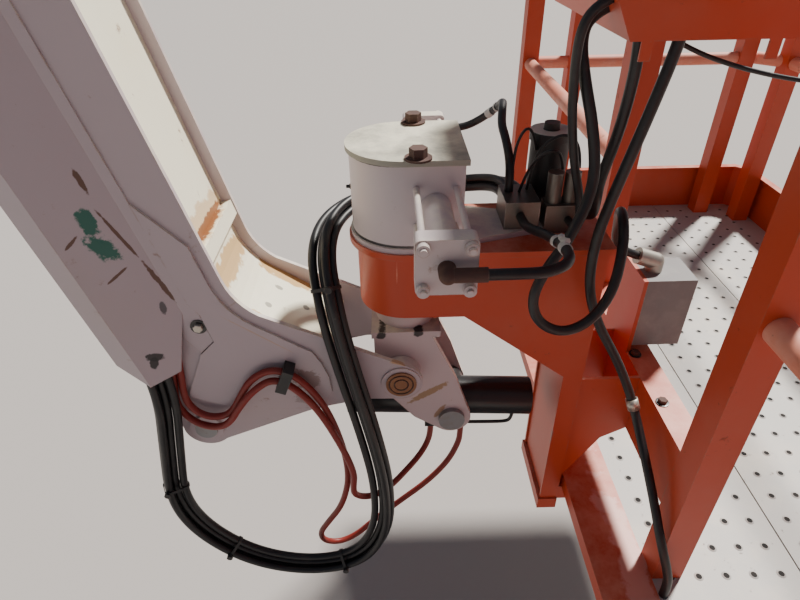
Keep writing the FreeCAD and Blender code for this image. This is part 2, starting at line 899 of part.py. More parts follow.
topSolid, topBore = rail(farSide + nearSide, railZ)
midFarSolid, midFarBore = rail(farSide + [(innerRailX, innerPostMiddle)], midRailZ)
midNearSolid, midNearBore = rail([(innerRailX, -innerPostMiddle)] + nearSide, midRailZ)
save(topSolid.cut(topBore), "top_rail")
save(together([midFarSolid.cut(midFarBore), midNearSolid.cut(midNearBore)]), "mid_rails")


def post(x, y):
    """Square tube on the deck with a cap; the top rail lies in it and the mid rail runs through."""
    half = postSize / 2
    top = railZ - railRadius + railSaddle
    outer = block(x - half, x + half, y - half, y + half, floorTopZ, top)
    inside = half - postWall
    inner = block(x - inside, x + inside, y - inside, y + inside, floorTopZ, top - 2 * postWall)
    return outer.cut(inner).cut(topSolid).cut(midFarSolid).cut(midNearSolid)


cornerRun = endRailY - cornerCut - cornerPostSetBack
postPlaces = [
    (innerRailX, -innerPostMiddle),
    (innerRailX, innerPostMiddle),
    (innerRailX, -endRailY),
    (innerRailX, endRailY),
    (outerRailX, -cornerRun),
    (outerRailX, cornerRun),
    (outerRailX, 0),
    (farPostX + postSize / 2, endRailY),
    (farPostX + farPostStep + postSize / 2, endRailY),
    (gatePostEnd, -endRailY),
]

# Gate at the near end, on two pins in ears on its post
hingeX = gateStartX + gateFrameRadius
hingeY = -endRailY
gateLowZ = floorTopZ + gateRise
gateHighZ = railZ - gateDrop


def hingeEar(z):
    """Ear on the gate's post round one pin, its lower face at z."""
    x0 = gatePostStart + postSize / 2
    y0 = hingeY - gateFrameRadius
    plate = block(x0, hingeX, y0, hingeY + gateFrameRadius, z, z + gateEarHeight)
    ear = Part.makeCylinder(gateFrameRadius, gateEarHeight, V(hingeX, hingeY, z))
    hole = Part.makeCylinder(gatePinRadius + pinFit, gateEarHeight, V(hingeX, hingeY, z))
    return fused([plate, ear]).cut(hole)


earPlaces = (gateLowZ - ringGap - gateEarHeight, gateHighZ + ringGap)
gatePost = fused([post(gatePostStart, -endRailY)] + [hingeEar(z) for z in earPlaces])
save(together([post(x, y) for x, y in postPlaces] + [gatePost]), "platform_posts")


def gateSolid():
    endX = gateEndX - gateFrameRadius
    low, high = gateLowZ + gateFrameRadius, gateHighZ - gateFrameRadius
    ring = [V(hingeX, hingeY, low), V(endX, hingeY, low), V(endX, hingeY, high), V(hingeX, hingeY, high)]
    middle = [V(hingeX, hingeY, midRailZ), V(endX, hingeY, midRailZ)]
    closed = ring + ring[:2]
    inside = gateFrameRadius - gateWall
    frame = fused([tube(closed, gateFrameRadius), tube(middle, gateFrameRadius)])
    frame = frame.cut(fused([tube(closed, inside), tube(middle, inside)]))
    reach = UP * gatePinEnd
    ends = [V(hingeX, hingeY, z) for z in (gateLowZ, gateHighZ)]
    pins = [bar(end - reach, end + reach, gatePinRadius) for end in ends]
    y0 = hingeY - gateFrameRadius
    toe = block(hingeX + gateFrameRadius, endX, y0, y0 + toePlate, gateLowZ, floorTopZ + toeHeight)
    return fused([frame, toe] + pins)


save(gateSolid(), "gate")

# Control console on straps under the top rail, open below
consoleTopZ = railZ - consoleDrop
consoleBottomZ = consoleTopZ - consoleHeight
consoleMiddleY = (consoleStartY + consoleEndY) / 2


def consoleShape(inset):
    """Side outline, drawn in by inset; an inset one runs out through the open bottom."""
    low = consoleBottomZ - inset
    left = consoleStartX - consoleLean + inset
    return [
        V(consoleStartX + inset, 0, low),
        V(consoleEndX - inset, 0, low),
        V(consoleEndX - inset, 0, consoleTopZ - consoleSlope / 2 - inset),
        V(consoleEndX - consoleSlope, 0, consoleTopZ - inset),
        V(left, 0, consoleTopZ - inset),
        V(left, 0, consoleBottomZ + 2 * consoleLean),
    ]


consoleWidth = consoleEndY - consoleStartY
consoleOuter = flat(consoleShape(0), consoleWidth, consoleMiddleY)
consoleInner = flat(consoleShape(consoleSheet), consoleWidth - 2 * consoleSheet, consoleMiddleY)
save(consoleOuter.cut(consoleInner), "control_console")


def consoleStrap(y):
    strap = block(innerRailX - strapHalf, innerRailX + strapHalf, y, y + strapWidth, consoleTopZ, railZ)
    return strap.cut(topSolid)


def consoleTab(x):
    y0 = consoleStartY
    return block(x, x + 14, y0, y0 + consoleSheet, consoleBottomZ - 22, consoleBottomZ)


straps = [consoleStrap(consoleStartY + strapWidth), consoleStrap(consoleEndY - 2 * strapWidth)]
tabs = [consoleTab(consoleStartX + 14), consoleTab(consoleEndX - 120)]
save(together(straps + tabs), "console_mounts")


def lever(y):
    foot = V(consoleEndX - consoleSlope + 30, y, consoleTopZ - 30)
    top = foot + V(14, 0, 96)
    return fused([bar(foot, top, leverRadius), bar(top, top + V(6, 0, 40), gripRadius)]).cut(consoleOuter)


save(together([lever(consoleStartY + leverY), lever(consoleEndY - leverY)]), "control_levers")

# Junction box on its bracket, which stands on the cross channel
boxX = floorInnerX + bracketPlate
boxLowZ = boxTopZ - boxHeight
save(block(boxX, boxX + boxWidth, boxY, boxY + boxDepth, boxLowZ, boxTopZ), "junction_box")
bracketY = boxY + bracketLength
boxPlate = block(floorInnerX, boxX, boxY, bracketY, beamTopZ, boxTopZ)
footEndX = floorInnerX + bracketFoot
boxFoot = block(floorInnerX, footEndX, boxY + boxDepth, bracketY, beamTopZ, beamTopZ + bracketPlate)
save(fused([boxPlate, boxFoot]), "junction_box_bracket")
elbowBase = V(boxX + elbowPlace, boxY + boxDepth / 2, boxTopZ)
elbowCorner = elbowBase + UP * elbowRise
elbowWay = V(-34, 0, 12)
elbowEnd = elbowCorner + elbowWay
save(tube([elbowBase, elbowCorner, elbowEnd], elbowRadius), "conduit_elbow")

# Valves on the base flange's tail and on the support's top plate


valveEndX = valveX + valveLength
valveFarY = valveY + valveWidth
valveTopZ = drumBottomZ + valveHeight
coilBaseX = tailLength + seat


def valveGroup():
    manifold = block(valveX, valveEndX, valveY, valveFarY, drumBottomZ, valveTopZ)
    topZ = supportTopZ + coilBaseHeight
    base = block(coilBaseX, coilBaseX + 2 * coilStep, valveY, valveY + coilBaseWidth, supportTopZ, topZ)
    coils = []
    for k in range(2):
        at = V(coilBaseX + coilStep * (k + 0.5), valveY + coilBaseWidth / 2, topZ)
        coils.append(Part.makeCylinder(coilRadius, coilHeight, at))
    return together([manifold, fused([base] + coils)])


def canisterSolid():
    """Body, lid and knob: radius and height of each, from below."""
    rounds = (
        (canisterRadius, canisterHeight),
        (canisterRadius + lidOverhang, lidHeight),
        (knobRadius, knobRadius),
    )
    pieces = []
    z = supportTopZ
    for radius, height in rounds:
        pieces.append(Part.makeCylinder(radius, height, V(canisterX, canisterY, z)))
        z += height
    return fused(pieces)


save(valveGroup(), "valve_group")
save(canisterSolid(), "filter_canister")

# Hoses and cables: straight runs joined by tangent arcs


def roundedPath(points):
    """The route as one wire, and the smallest radius in it."""
    edges = []
    radii = []
    start = points[0]
    for before, corner, after in zip(points, points[1:], points[2:]):
        back = before - corner
        ahead = after - corner
        halfTurn = (math.pi - back.getAngle(ahead)) / 2
        cut = bendShare * min(back.Length, ahead.Length)
        radius = cut / math.tan(halfTurn)
        back.normalize()
        ahead.normalize()
        inside = back + ahead
        inside.normalize()
        arcStart = corner + back * cut
        arcEnd = corner + ahead * cut
        middle = corner + inside * (radius / math.cos(halfTurn) - radius)
        edges.append(Part.LineSegment(start, arcStart).toShape())
        edges.append(Part.Arc(arcStart, middle, arcEnd).toShape())
        radii.append(radius)
        start = arcEnd
    edges.append(Part.LineSegment(start, points[-1]).toShape())
    return Part.Wire(edges), min(radii)


def hoseSolid(points, radius):
    path = roundedPath(points)[0]
    section = Part.Wire(Part.makeCircle(radius, points[0], points[1] - points[0]))
    return path.makePipeShell([section], True, False)


def saveHose(points, radius, node):
    """Write one hose; its volume is set against its section times its length."""
    path, tightest = roundedPath(points)
    solid = hoseSolid(points, radius)
    share = solid.Volume / (math.pi * radius ** 2 * path.Length)
    print(node, "smallest radius", round(tightest), "volume share", round(share, 4))
    save(solid, node)


def beside(points, side, out):
    """A route parallel to the one given: side and out are its place in the bundle's section."""
    line = points[1] - points[0]
    line.normalize()
    first = inward - line * inward.dot(line)
    first.normalize()
    offset = first * side + line.cross(first) * out
    moved = [points[0] + offset]
    for before, corner, after in zip(points, points[1:], points[2:]):
        arriving = corner - before
        leaving = after - corner
        arriving.normalize()
        leaving.normalize()
        halfway = arriving + leaving
        halfway.normalize()
        offset = offset - arriving * (offset.dot(halfway) / arriving.dot(halfway))
        moved.append(corner + offset)
        offset = offset - leaving * offset.dot(leaving)
    return moved + [points[-1] + offset]


def route(points):
    return [V(*point) for point in points]


def onward(points, length):
    """The point straight on from the route's end."""
    way = points[-1] - points[-2]
    way.normalize()
    return points[-1] + way * length


def cutAt(points, count):
    """The route in two after that many points, a hair's gap between the two end faces."""
    way = points[count] - points[count - 1]
    way.normalize()
    return points[:count], [points[count - 1] + way * joinGap] + points[count:]


# Each route is x, y, z of its points; the first and last lie on the faces that hold the hose
blackStart = guardPoint(clampPlace, 150, 8)
blackEnd = V(178, valveFarY, drumBottomZ + valveHeight / 2)
blackLower = [blackStart, blackStart - rise * 152] + route([
    (-399, -119, -370),
    (-419, -128, -505),
    (-437, -134, -625),
    (-400, -143, -715),
    (-315, -149, -798),
    (-205, -151, -832),
    (-105, -149, -812),
    (-55, -144, -730),
    (-50, -137, -610),
    (-68, -129, -485),
    (-88, -121.5, -390),
])
blackUpper = [onward(blackLower, 92)] + route([
    (-121, -104, -210),
    (-132, -52, -148),
    (-118, 42, -138),
    (-62, 118, -138),
    (30, 140, -137),
    (115, 137, -130),
    (160, 112, -118),
]) + [blackEnd + ACROSS * 35, blackEnd]
redOuterStart = guardPoint(clampPlace, 106, 6.5)
redInnerStart = guardPoint(clampPlace, 119.3, 6.5)
redOuterLower = [redOuterStart, redOuterStart - rise * 80] + route([
    (-379, -100.5, -205),
    (-371, -101, -300),
    (-375, -102.5, -352),
    (-380, -105.5, -398),
    (-369, -109, -423),
    (-349, -112, -438),
    (-324, -112.5, -440),
    (-302, -112, -429),
    (-280, -112, -388),
    (-258, -111, -355),
    (-222, -110, -336),
    (-180, -111, -354),
    (-136.4, -113, -433.1),
    (-124, -113.5, -502),
])
redOuterUpper = [onward(redOuterLower, 79)] + route([
    (-130, -112, -690),
    (-170, -106, -762),
    (-189, -101, -803),
    (-183, -95, -840),
    (-152, -86, -860),
    (-115, -77, -848),
    (-77, -68, -812),
    (-22, -58, -764),
    (38, -46, -717),
    (82, -34, -668),
    (103, -23, -625),
]) + [barrelPorts[1] - UP * 38, barrelPorts[1]]
redInnerLower = [redInnerStart, redInnerStart - rise * 80] + route([
    (-392, -100.5, -208),
    (-385, -101, -310),
    (-389, -103, -362),
    (-397, -104, -412),
    (-385.7, -108, -438.5),
    (-362.4, -114, -455.4),
    (-333.7, -120, -457.9),
    (-307.8, -124, -445.3),
    (-283, -125, -404),
    (-256, -122, -372),
    (-222, -115, -352),
    (-184, -119, -374),
    (-144.4, -123.4, -436.3),
    (-120, -129.5, -507),
])
redInnerUpper = [onward(redInnerLower, 61)] + route([
    (-106, -132.5, -615),
    (-106, -125, -645),
    (-89, -115, -668),
    (-62, -104, -676),
    (-34, -90, -666),
    (-4, -70, -646),
    (22, -46, -634),
    (40, -28, -614),
]) + [barrelPorts[0] - UP * 28, barrelPorts[0]]
nearRackEnd = V(176, valveY, drumBottomZ + valveHeight / 2)
nearRack = [portEnd, portEnd + V(32, 0, 0)] + route([
    (160, -257, -73),
    (194, -230, -77),
    (203, -180, -85),
    (194, -120, -98),
    (179, -76, -110),
]) + [nearRackEnd - ACROSS * 23, nearRackEnd]
farPortEnd = V(portEnd.x, -portEnd.y, portEnd.z)
farRackEnd = V(164, 16, valveTopZ)
farRack = [farPortEnd, farPortEnd + V(30, 0, 0)] + route([
    (150, 258, -54),
    (176, 232, -24),
    (178, 188, 0),
    (168, 140, 2),
    (160, 96, -12),
    (162, 69, -22),
    (163, 44, -34),
    (164, 26, -48.5),
]) + [farRackEnd + UP * 22, farRackEnd]

# Cables from the console: two leave its slanted side, the third comes down inside it
consoleSide = V(-2, 0, -1)
consoleSide.normalize()


def onConsoleSide(y, height):
    """A point on the console's slanted side, at that height above its lower edge."""
    return V(consoleStartX - height / 2, y, consoleBottomZ + height)


thinStart = onConsoleSide(-96, 43)
thinEnd = V(250, valveY, supportTopZ + coilBaseHeight / 2)
thinCable = [thinStart, thinStart + consoleSide * 22] + route([
    (205, -97, 158),
    (204, -98, 120),
    (210, -95, 60),
    (226, -88, -10),
    (242, -84, -55),
    (249, -81, -93),
    (250, -70.5, -111),
]) + [thinEnd - ACROSS * 22, thinEnd]
boxStart = onConsoleSide(-66, 30)
boxWay = elbowEnd - elbowCorner
boxWay.normalize()
boxCable = [boxStart, boxStart + consoleSide * 22] + route([
    (214, -74, 142),
    (222, -88, 100),
    (240, -101, 40),
    (250, -114, -30),
    (222, -134, -95),
    (186, -152, -140),
    (172, -160, -180),
    (186, -162, -218),
    (224, -160, -240),
    (264, -155, -226),
    (294, -143, -182),
    (306, -118, -125),
    (311, -90, -98),
    (318, -58, -94),
    (330, -24, -114),
    (346, 8, -150),
    (357, 30, -192),
]) + [elbowEnd + boxWay * 33, elbowEnd]
deckStart = V(330, -103, consoleTopZ - consoleSheet)
deckEnd = V(420, -316, floorTopZ)
deckCable = [deckStart, deckStart - UP * 80] + route([
    (322, -106, 155),
    (302, -110, 60),
    (282, -110, -30),
    (266, -111, -110),
    (268, -113, -190),
    (292, -118, -255),
    (332, -128, -320),
    (364, -134, -385),
    (378, -156, -430),
    (384, -200, -470),
    (392, -248, -520),
    (399, -292, -572),
    (414, -312, -622),
]) + [deckEnd + UP * 32, deckEnd]

bundle = ((-bundlePitch, 0), (0, 0), (bundlePitch, 0), (bundlePitch / 2, -bundleRow))
for number, (side, out) in enumerate(bundle, 1):
    whole = beside(blackLower + blackUpper, side, out)
    lower, upper = cutAt(whole, len(blackLower))
    saveHose(lower, blackRadius, "black_hose_lower_" + str(number))
    saveHose(upper, blackRadius, "black_hose_upper_" + str(number))
for number, (low, high) in enumerate(((redOuterLower, redOuterUpper), (redInnerLower, redInnerUpper)), 1):
    lower, upper = cutAt(low + high, len(low))
    saveHose(lower, redRadius, "red_hose_lower_" + str(number))
    saveHose(upper, redRadius, "red_hose_upper_" + str(number))
saveHose(nearRack, blackRadius, "rack_hose_near")
saveHose(farRack, blackRadius, "rack_hose_far")
saveHose(thinCable, thinCableRadius, "valve_cable")
saveHose(boxCable, cableRadius, "junction_box_cable")
saveHose(deckCable, cableRadius, "deck_cable")


def clampBlock():
    """Block inside the guard that grips the hoses where they come out of the boom."""
    shape = [guardPoint(clampPlace, depth, out) for depth, out in clampSection]
    return prism(shape, rise * clampHeight)


def redClip():
    """Block on the doubler, round both red hoses."""
    near = -(boomHalfWidth + doublerPlate)
    half = clipLength / 2
    clip = block(-half, half, near - clipOut, near, -clipHeight / 2, clipHeight / 2)
    clip.rotate(V(0, 0, 0), ACROSS, clipSlope)
    clip.translate(V(clipX, 0, clipZ))
    return clip.cut(hoseSolid(redOuterLower, redRadius + seat)).cut(hoseSolid(redInnerLower, redRadius + seat))


save(together([clampBlock(), redClip()]), "hose_clamps")
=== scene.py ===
import json
import math
import bmesh
import bpy
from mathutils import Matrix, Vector


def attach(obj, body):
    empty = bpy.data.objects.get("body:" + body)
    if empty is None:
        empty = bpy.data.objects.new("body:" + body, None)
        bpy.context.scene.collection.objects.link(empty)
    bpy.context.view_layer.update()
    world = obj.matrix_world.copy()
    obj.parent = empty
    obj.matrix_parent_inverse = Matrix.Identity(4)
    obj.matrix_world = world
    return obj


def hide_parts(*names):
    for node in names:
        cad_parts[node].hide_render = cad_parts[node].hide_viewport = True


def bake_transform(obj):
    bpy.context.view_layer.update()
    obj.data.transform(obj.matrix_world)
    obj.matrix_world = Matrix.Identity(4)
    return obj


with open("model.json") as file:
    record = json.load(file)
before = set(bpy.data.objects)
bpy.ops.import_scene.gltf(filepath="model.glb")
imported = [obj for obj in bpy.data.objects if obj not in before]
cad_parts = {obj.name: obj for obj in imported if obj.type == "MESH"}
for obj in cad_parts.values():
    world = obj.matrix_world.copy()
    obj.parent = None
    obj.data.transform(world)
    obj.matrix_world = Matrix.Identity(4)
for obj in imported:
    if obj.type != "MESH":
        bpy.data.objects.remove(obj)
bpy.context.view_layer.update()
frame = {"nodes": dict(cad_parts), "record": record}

nodes = frame["nodes"]


def placed(name, data):
    thing = bpy.data.objects.new(name, data)
    bpy.context.scene.collection.objects.link(thing)
    return thing


# Camera, where the photograph was taken from

photoCamera = {"place": (0.7141, -0.8175, -0.9845), "turn": (55.414, 0.905, -1.428), "lens": 25.73,
               "sensorWidth": 36, "nearest": 0.02}

lensData = bpy.data.cameras.new("photoCamera")
lensData.lens = photoCamera["lens"]
lensData.sensor_width = photoCamera["sensorWidth"]
lensData.clip_start = photoCamera["nearest"]
viewer = placed("photoCamera", lensData)
viewer.location = photoCamera["place"]
viewer.rotation_euler = [math.radians(a) for a in photoCamera["turn"]]
bpy.context.scene.camera = viewer
print("camera set")


# Floor and light

studio = {"floorHeight": -3.05, "floorHalfWidth": 30, "floorColour": (0.44, 0.41, 0.39),
          "floorRoughness": 0.9, "sunStrength": 7.6, "sunTurn": (38, 0, 137), "sunSpread": 6,
          "sunColour": (1.0, 0.955, 0.89), "skyColour": (0.78, 0.84, 1.0), "skyStrength": 0.19}


def buildStudio():
    size, height = studio["floorHalfWidth"], studio["floorHeight"]
    mesh = bpy.data.meshes.new("studioFloor")
    corners = [(-size, -size), (size, -size), (size, size), (-size, size)]
    mesh.from_pydata([(x, y, height) for x, y in corners], [], [(0, 1, 2, 3)])
    paper = bpy.data.materials.new("paleFloor")
    paper.use_nodes = True
    shader = paper.node_tree.nodes["Principled BSDF"]
    shader.inputs["Base Color"].default_value = (*studio["floorColour"], 1)
    shader.inputs["Roughness"].default_value = studio["floorRoughness"]
    mesh.materials.append(paper)
    placed("studioFloor", mesh)
    sun = bpy.data.lights.new("sun", "SUN")
    sun.energy = studio["sunStrength"]
    sun.angle = math.radians(studio["sunSpread"])
    sun.color = studio["sunColour"]
    placed("sun", sun).rotation_euler = [math.radians(a) for a in studio["sunTurn"]]
    sky = bpy.data.worlds.new("studioSky")
    sky.use_nodes = True
    glow = sky.node_tree.nodes["Background"]
    glow.inputs["Color"].default_value = (*studio["skyColour"], 1)
    glow.inputs["Strength"].default_value = studio["skyStrength"]
    bpy.context.scene.world = sky


buildStudio()
print("studio ready")


# Node trees: shared ways of making them

def put(tree, kind, place, values=None, **settings):
    node = tree.nodes.new(kind)
    node.location = place
    for key, value in settings.items():
        setattr(node, key, value)
    for key, value in (values or {}).items():
        node.inputs[key].default_value = value
    return node


def wire(tree, *links):
    # Each link is a node and its output, then a node and its input
    for start, output, end, entry in links:
        tree.links.new(start.outputs[output], end.inputs[entry])


def socketKind(value):
    # The socket that a starting value fits
    if value is None:
        return "NodeSocketMaterial"
    if isinstance(value, tuple):
        return "NodeSocketColor" if len(value) == 4 else "NodeSocketVector"
    return "NodeSocketInt" if isinstance(value, int) else "NodeSocketFloat"


def startGroup(name, kind, ins, outs):
    group = bpy.data.node_groups.new(name, kind)
    for title, holds in outs.items():
        group.interface.new_socket(title, in_out="OUTPUT", socket_type="NodeSocket" + holds)
    for title, value in ins.items():
        socket = group.interface.new_socket(title, in_out="INPUT", socket_type=socketKind(value))
        if value is not None:
            socket.default_value = value
    return group, put(group, "NodeGroupInput", (-1100, 0)), put(group, "NodeGroupOutput", (900, 0))


def tornMask(group, source, where, size, detail, roughness, low, high, row=-300):
    # Noise cut to a mask; one of the group's inputs gives its size
    torn = put(group, "ShaderNodeTexNoise", (-600, row), {"Detail": detail, "Roughness": roughness})
    mask = put(group, "ShaderNodeMapRange", (-350, row), {"From Min": low, "From Max": high})
    wire(group, (where, "Object", torn, "Vector"), (source, size, torn, "Scale"),
         (torn, "Fac", mask, "Value"))
    return mask


def mixColour(group, place):
    return put(group, "ShaderNodeMix", place, data_type="RGBA")


def coverWith(group, source, sink, other, mask, output):
    # A second colour over the group's first, by a mask times Amount
    part = put(group, "ShaderNodeMath", (300, -100), operation="MULTIPLY", use_clamp=True)
    covered = mixColour(group, (550, 100))
    wire(group, (mask, output, part, 0), (source, "Amount", part, 1), (part, 0, covered, "Factor"),
         (source, "Color", covered, 6), (source, other, covered, 7), (covered, 2, sink, "Color"),
         (part, 0, sink, "Mask"))


# Shader groups

colourAndMask = {"Color": "Color", "Mask": "Float"}


def stainGroup():
    # Dust over a paint in soft clouds, rust in hard spots
    group, source, sink = startGroup("paintStains", "ShaderNodeTree", {
        "Paint": (0.8, 0.8, 0.8, 1), "Stain": (0.5, 0.35, 0.2, 1), "Rust": (0.25, 0.09, 0.03, 1),
        "Cloud Size": 3.0, "Cloud Amount": 0.3, "Spot Size": 30.0, "Spot Amount": 0.1, "Gloss": 0.45},
        {"Color": "Color", "Roughness": "Float", "Height": "Float"})
    where = put(group, "ShaderNodeTexCoord", (-900, -300))
    clouds = tornMask(group, source, where, "Cloud Size", 8.0, 0.62, 0.48, 0.78, 200)
    spots = tornMask(group, source, where, "Spot Size", 10.0, 0.7, 0.64, 0.70, -100)
    fine = put(group, "ShaderNodeTexNoise", (-600, -400), {"Scale": 420.0, "Detail": 3.0})
    cloudPart = put(group, "ShaderNodeMath", (-100, 200), operation="MULTIPLY")
    spotPart = put(group, "ShaderNodeMath", (-100, -100), operation="MULTIPLY", use_clamp=True)
    stained = mixColour(group, (150, 200))
    rusted = mixColour(group, (400, 100))
    rough = put(group, "ShaderNodeMapRange", (400, -200), {"To Max": 0.85})
    grain = put(group, "ShaderNodeMath", (400, -450), {1: 0.15}, operation="MULTIPLY")
    height = put(group, "ShaderNodeMath", (650, -400), operation="SUBTRACT")
    wire(group, (where, "Object", fine, "Vector"), (clouds, "Result", cloudPart, 0),
         (source, "Cloud Amount", cloudPart, 1), (spots, "Result", spotPart, 0),
         (source, "Spot Amount", spotPart, 1), (cloudPart, 0, stained, "Factor"),
         (source, "Paint", stained, 6), (source, "Stain", stained, 7),
         (spotPart, 0, rusted, "Factor"), (stained, 2, rusted, 6),
         (source, "Rust", rusted, 7), (rusted, 2, sink, "Color"), (spotPart, 0, rough, "Value"),
         (source, "Gloss", rough, "To Min"), (rough, "Result", sink, "Roughness"), (fine, "Fac", grain, 0),
         (grain, 0, height, 0), (spotPart, 0, height, 1), (height, 0, sink, "Height"))
    return group


def edgeGroup():
    # Wear along edges, found where a rounded normal leaves the flat one
    group, source, sink = startGroup("edgeWear", "ShaderNodeTree", {
        "Color": (0.8, 0.8, 0.8, 1), "Worn": (0.3, 0.2, 0.15, 1), "Width": 0.003, "Amount": 0.7,
        "Break Size": 45.0}, colourAndMask)
    where = put(group, "ShaderNodeTexCoord", (-900, -300))
    rounded = put(group, "ShaderNodeBevel", (-700, 100), samples=4)
    flat = put(group, "ShaderNodeNewGeometry", (-700, -100))
    turn = put(group, "ShaderNodeVectorMath", (-500, 0), operation="DOT_PRODUCT")
    edge = put(group, "ShaderNodeMapRange", (-300, 0), {"From Min": 0.995, "From Max": 0.85})
    breaks = tornMask(group, source, where, "Break Size", 6.0, 0.65, 0.45, 0.60)
    both = put(group, "ShaderNodeMath", (-100, -100), operation="MULTIPLY")
    wire(group, (source, "Width", rounded, "Radius"), (rounded, "Normal", turn, 0), (flat, "Normal", turn, 1),
         (turn, "Value", edge, "Value"), (edge, "Result", both, 0), (breaks, "Result", both, 1))
    coverWith(group, source, sink, "Worn", both, 0)
    return group


def markGroup():
    # One ragged patch of another colour: a place, three half sizes and a lean in the upright plane
    group, source, sink = startGroup("localMark", "ShaderNodeTree", {
        "Color": (0.8, 0.8, 0.8, 1), "Mark": (0.2, 0.1, 0.05, 1), "Centre": (0, 0, 0),
        "Half Sizes": (0.01, 0.01, 0.01), "Lean": 0.0, "Amount": 0.8, "Ragged": 0.6, "Break Size": 120.0},
        colourAndMask)
    where = put(group, "ShaderNodeTexCoord", (-1100, -300))
    offset = put(group, "ShaderNodeVectorMath", (-900, 0), operation="SUBTRACT")
    leant = put(group, "ShaderNodeVectorRotate", (-700, 0), {"Axis": (0, 1, 0)}, rotation_type="AXIS_ANGLE")
    sized = put(group, "ShaderNodeVectorMath", (-500, 0), operation="DIVIDE")
    reach = put(group, "ShaderNodeVectorMath", (-300, 0), operation="LENGTH")
    broken = put(group, "ShaderNodeTexNoise", (-700, -300), {"Detail": 5.0, "Roughness": 0.6})
    centred = put(group, "ShaderNodeMath", (-500, -300), {1: 0.5}, operation="SUBTRACT")
    ragged = put(group, "ShaderNodeMath", (-300, -300), operation="MULTIPLY")
    edge = put(group, "ShaderNodeMath", (-100, -100), operation="ADD")
    mask = put(group, "ShaderNodeMapRange", (100, -100), {"From Min": 1.0, "From Max": 0.78})
    wire(group, (where, "Object", offset, 0), (source, "Centre", offset, 1),
         (offset, "Vector", leant, "Vector"), (source, "Lean", leant, "Angle"),
         (leant, "Vector", sized, 0), (source, "Half Sizes", sized, 1),
         (sized, "Vector", reach, 0), (where, "Object", broken, "Vector"),
         (source, "Break Size", broken, "Scale"), (broken, "Fac", centred, 0),
         (centred, 0, ragged, 0), (source, "Ragged", ragged, 1),
         (reach, "Value", edge, 0), (ragged, 0, edge, 1), (edge, 0, mask, "Value"))
    coverWith(group, source, sink, "Mark", mask, "Result")
    return group


def fadeAndSunlitGroup():
    # Paint bleached on the faces that look towards the sun lamp, in broken patches: the paler colour there is
    # partly real bleaching and partly painted sunlight
    group, source, sink = startGroup("fadeAndPaintedSunlight", "ShaderNodeTree", {
        "Color": (0.8, 0.8, 0.8, 1), "Faded And Sunlit": (0.8, 0.6, 0.5, 1), "Sun": (0.4, 0.45, 0.8), "Amount": 0.5,
        "Patch Size": 12.0}, colourAndMask)
    where = put(group, "ShaderNodeTexCoord", (-900, -300))
    facing = put(group, "ShaderNodeVectorMath", (-600, 0), operation="DOT_PRODUCT")
    sunFacing = put(group, "ShaderNodeMapRange", (-400, 0), {"From Min": 0.30, "From Max": 0.80})
    patches = tornMask(group, source, where, "Patch Size", 9.0, 0.68, 0.36, 0.64)
    both = put(group, "ShaderNodeMath", (-150, -100), operation="MULTIPLY")
    wire(group, (where, "Normal", facing, 0), (source, "Sun", facing, 1), (facing, "Value", sunFacing, "Value"),
         (sunFacing, "Result", both, 0), (patches, "Result", both, 1))
    coverWith(group, source, sink, "Faded And Sunlit", both, 0)
    return group


paintStains = stainGroup()
edgeWear = edgeGroup()
localMark = markGroup()
fadeAndPaintedSunlight = fadeAndSunlitGroup()
print("shader groups built")


# Marks on the paint, each between two points; width and depth are half sizes, depth across the machine

green, brown, soot = (0.0, 0.13, 0.09), (0.13, 0.055, 0.03), (0.02, 0.018, 0.02)
ochre, rustOrange = (0.56, 0.30, 0.06), (0.26, 0.085, 0.02)
guardMarks = [
    {"from": (0.303, -0.12, -1.306), "to": (0.312, -0.12, -1.348), "width": 0.0105, "colour": green,
     "ragged": 1.9, "breakSize": 75.0},
    {"from": (0.302, -0.12, -1.348), "to": (0.33, -0.12, -1.386), "width": 0.0125, "colour": green,
     "ragged": 1.9, "breakSize": 75.0},
    {"from": (0.3171, -0.11, -1.3098), "to": (0.3562, -0.1, -1.3998), "width": 0.0024, "colour": brown,
     "ragged": 1.6, "breakSize": 45.0},
    {"from": (0.3562, -0.1, -1.3998), "to": (0.3862, -0.097, -1.4793), "width": 0.0034, "colour": brown,
     "ragged": 1.6, "breakSize": 60.0},
    {"from": (0.307, -0.11, -1.256), "to": (0.3159, -0.11, -1.2905), "width": 0.0036, "colour": brown},
    {"from": (0.2759, -0.13, -1.3584), "to": (0.2913, -0.13, -1.3431), "width": 0.0026, "colour": brown},
    {"from": (0.3093, -0.12, -1.42), "to": (0.3367, -0.12, -1.4013), "width": 0.0024, "colour": brown},
    {"from": (0.366, -0.106, -1.4675), "to": (0.3677, -0.106, -1.4868), "width": 0.005,
     "colour": (0.1, 0.09, 0.1)},
    {"from": (0.3316, -0.13, -1.5494), "to": (0.352, -0.13, -1.559), "width": 0.0075, "colour": soot},
    {"from": (0.34, -0.13, -1.554), "to": (0.3385, -0.13, -1.574), "width": 0.0065, "colour": soot},
]
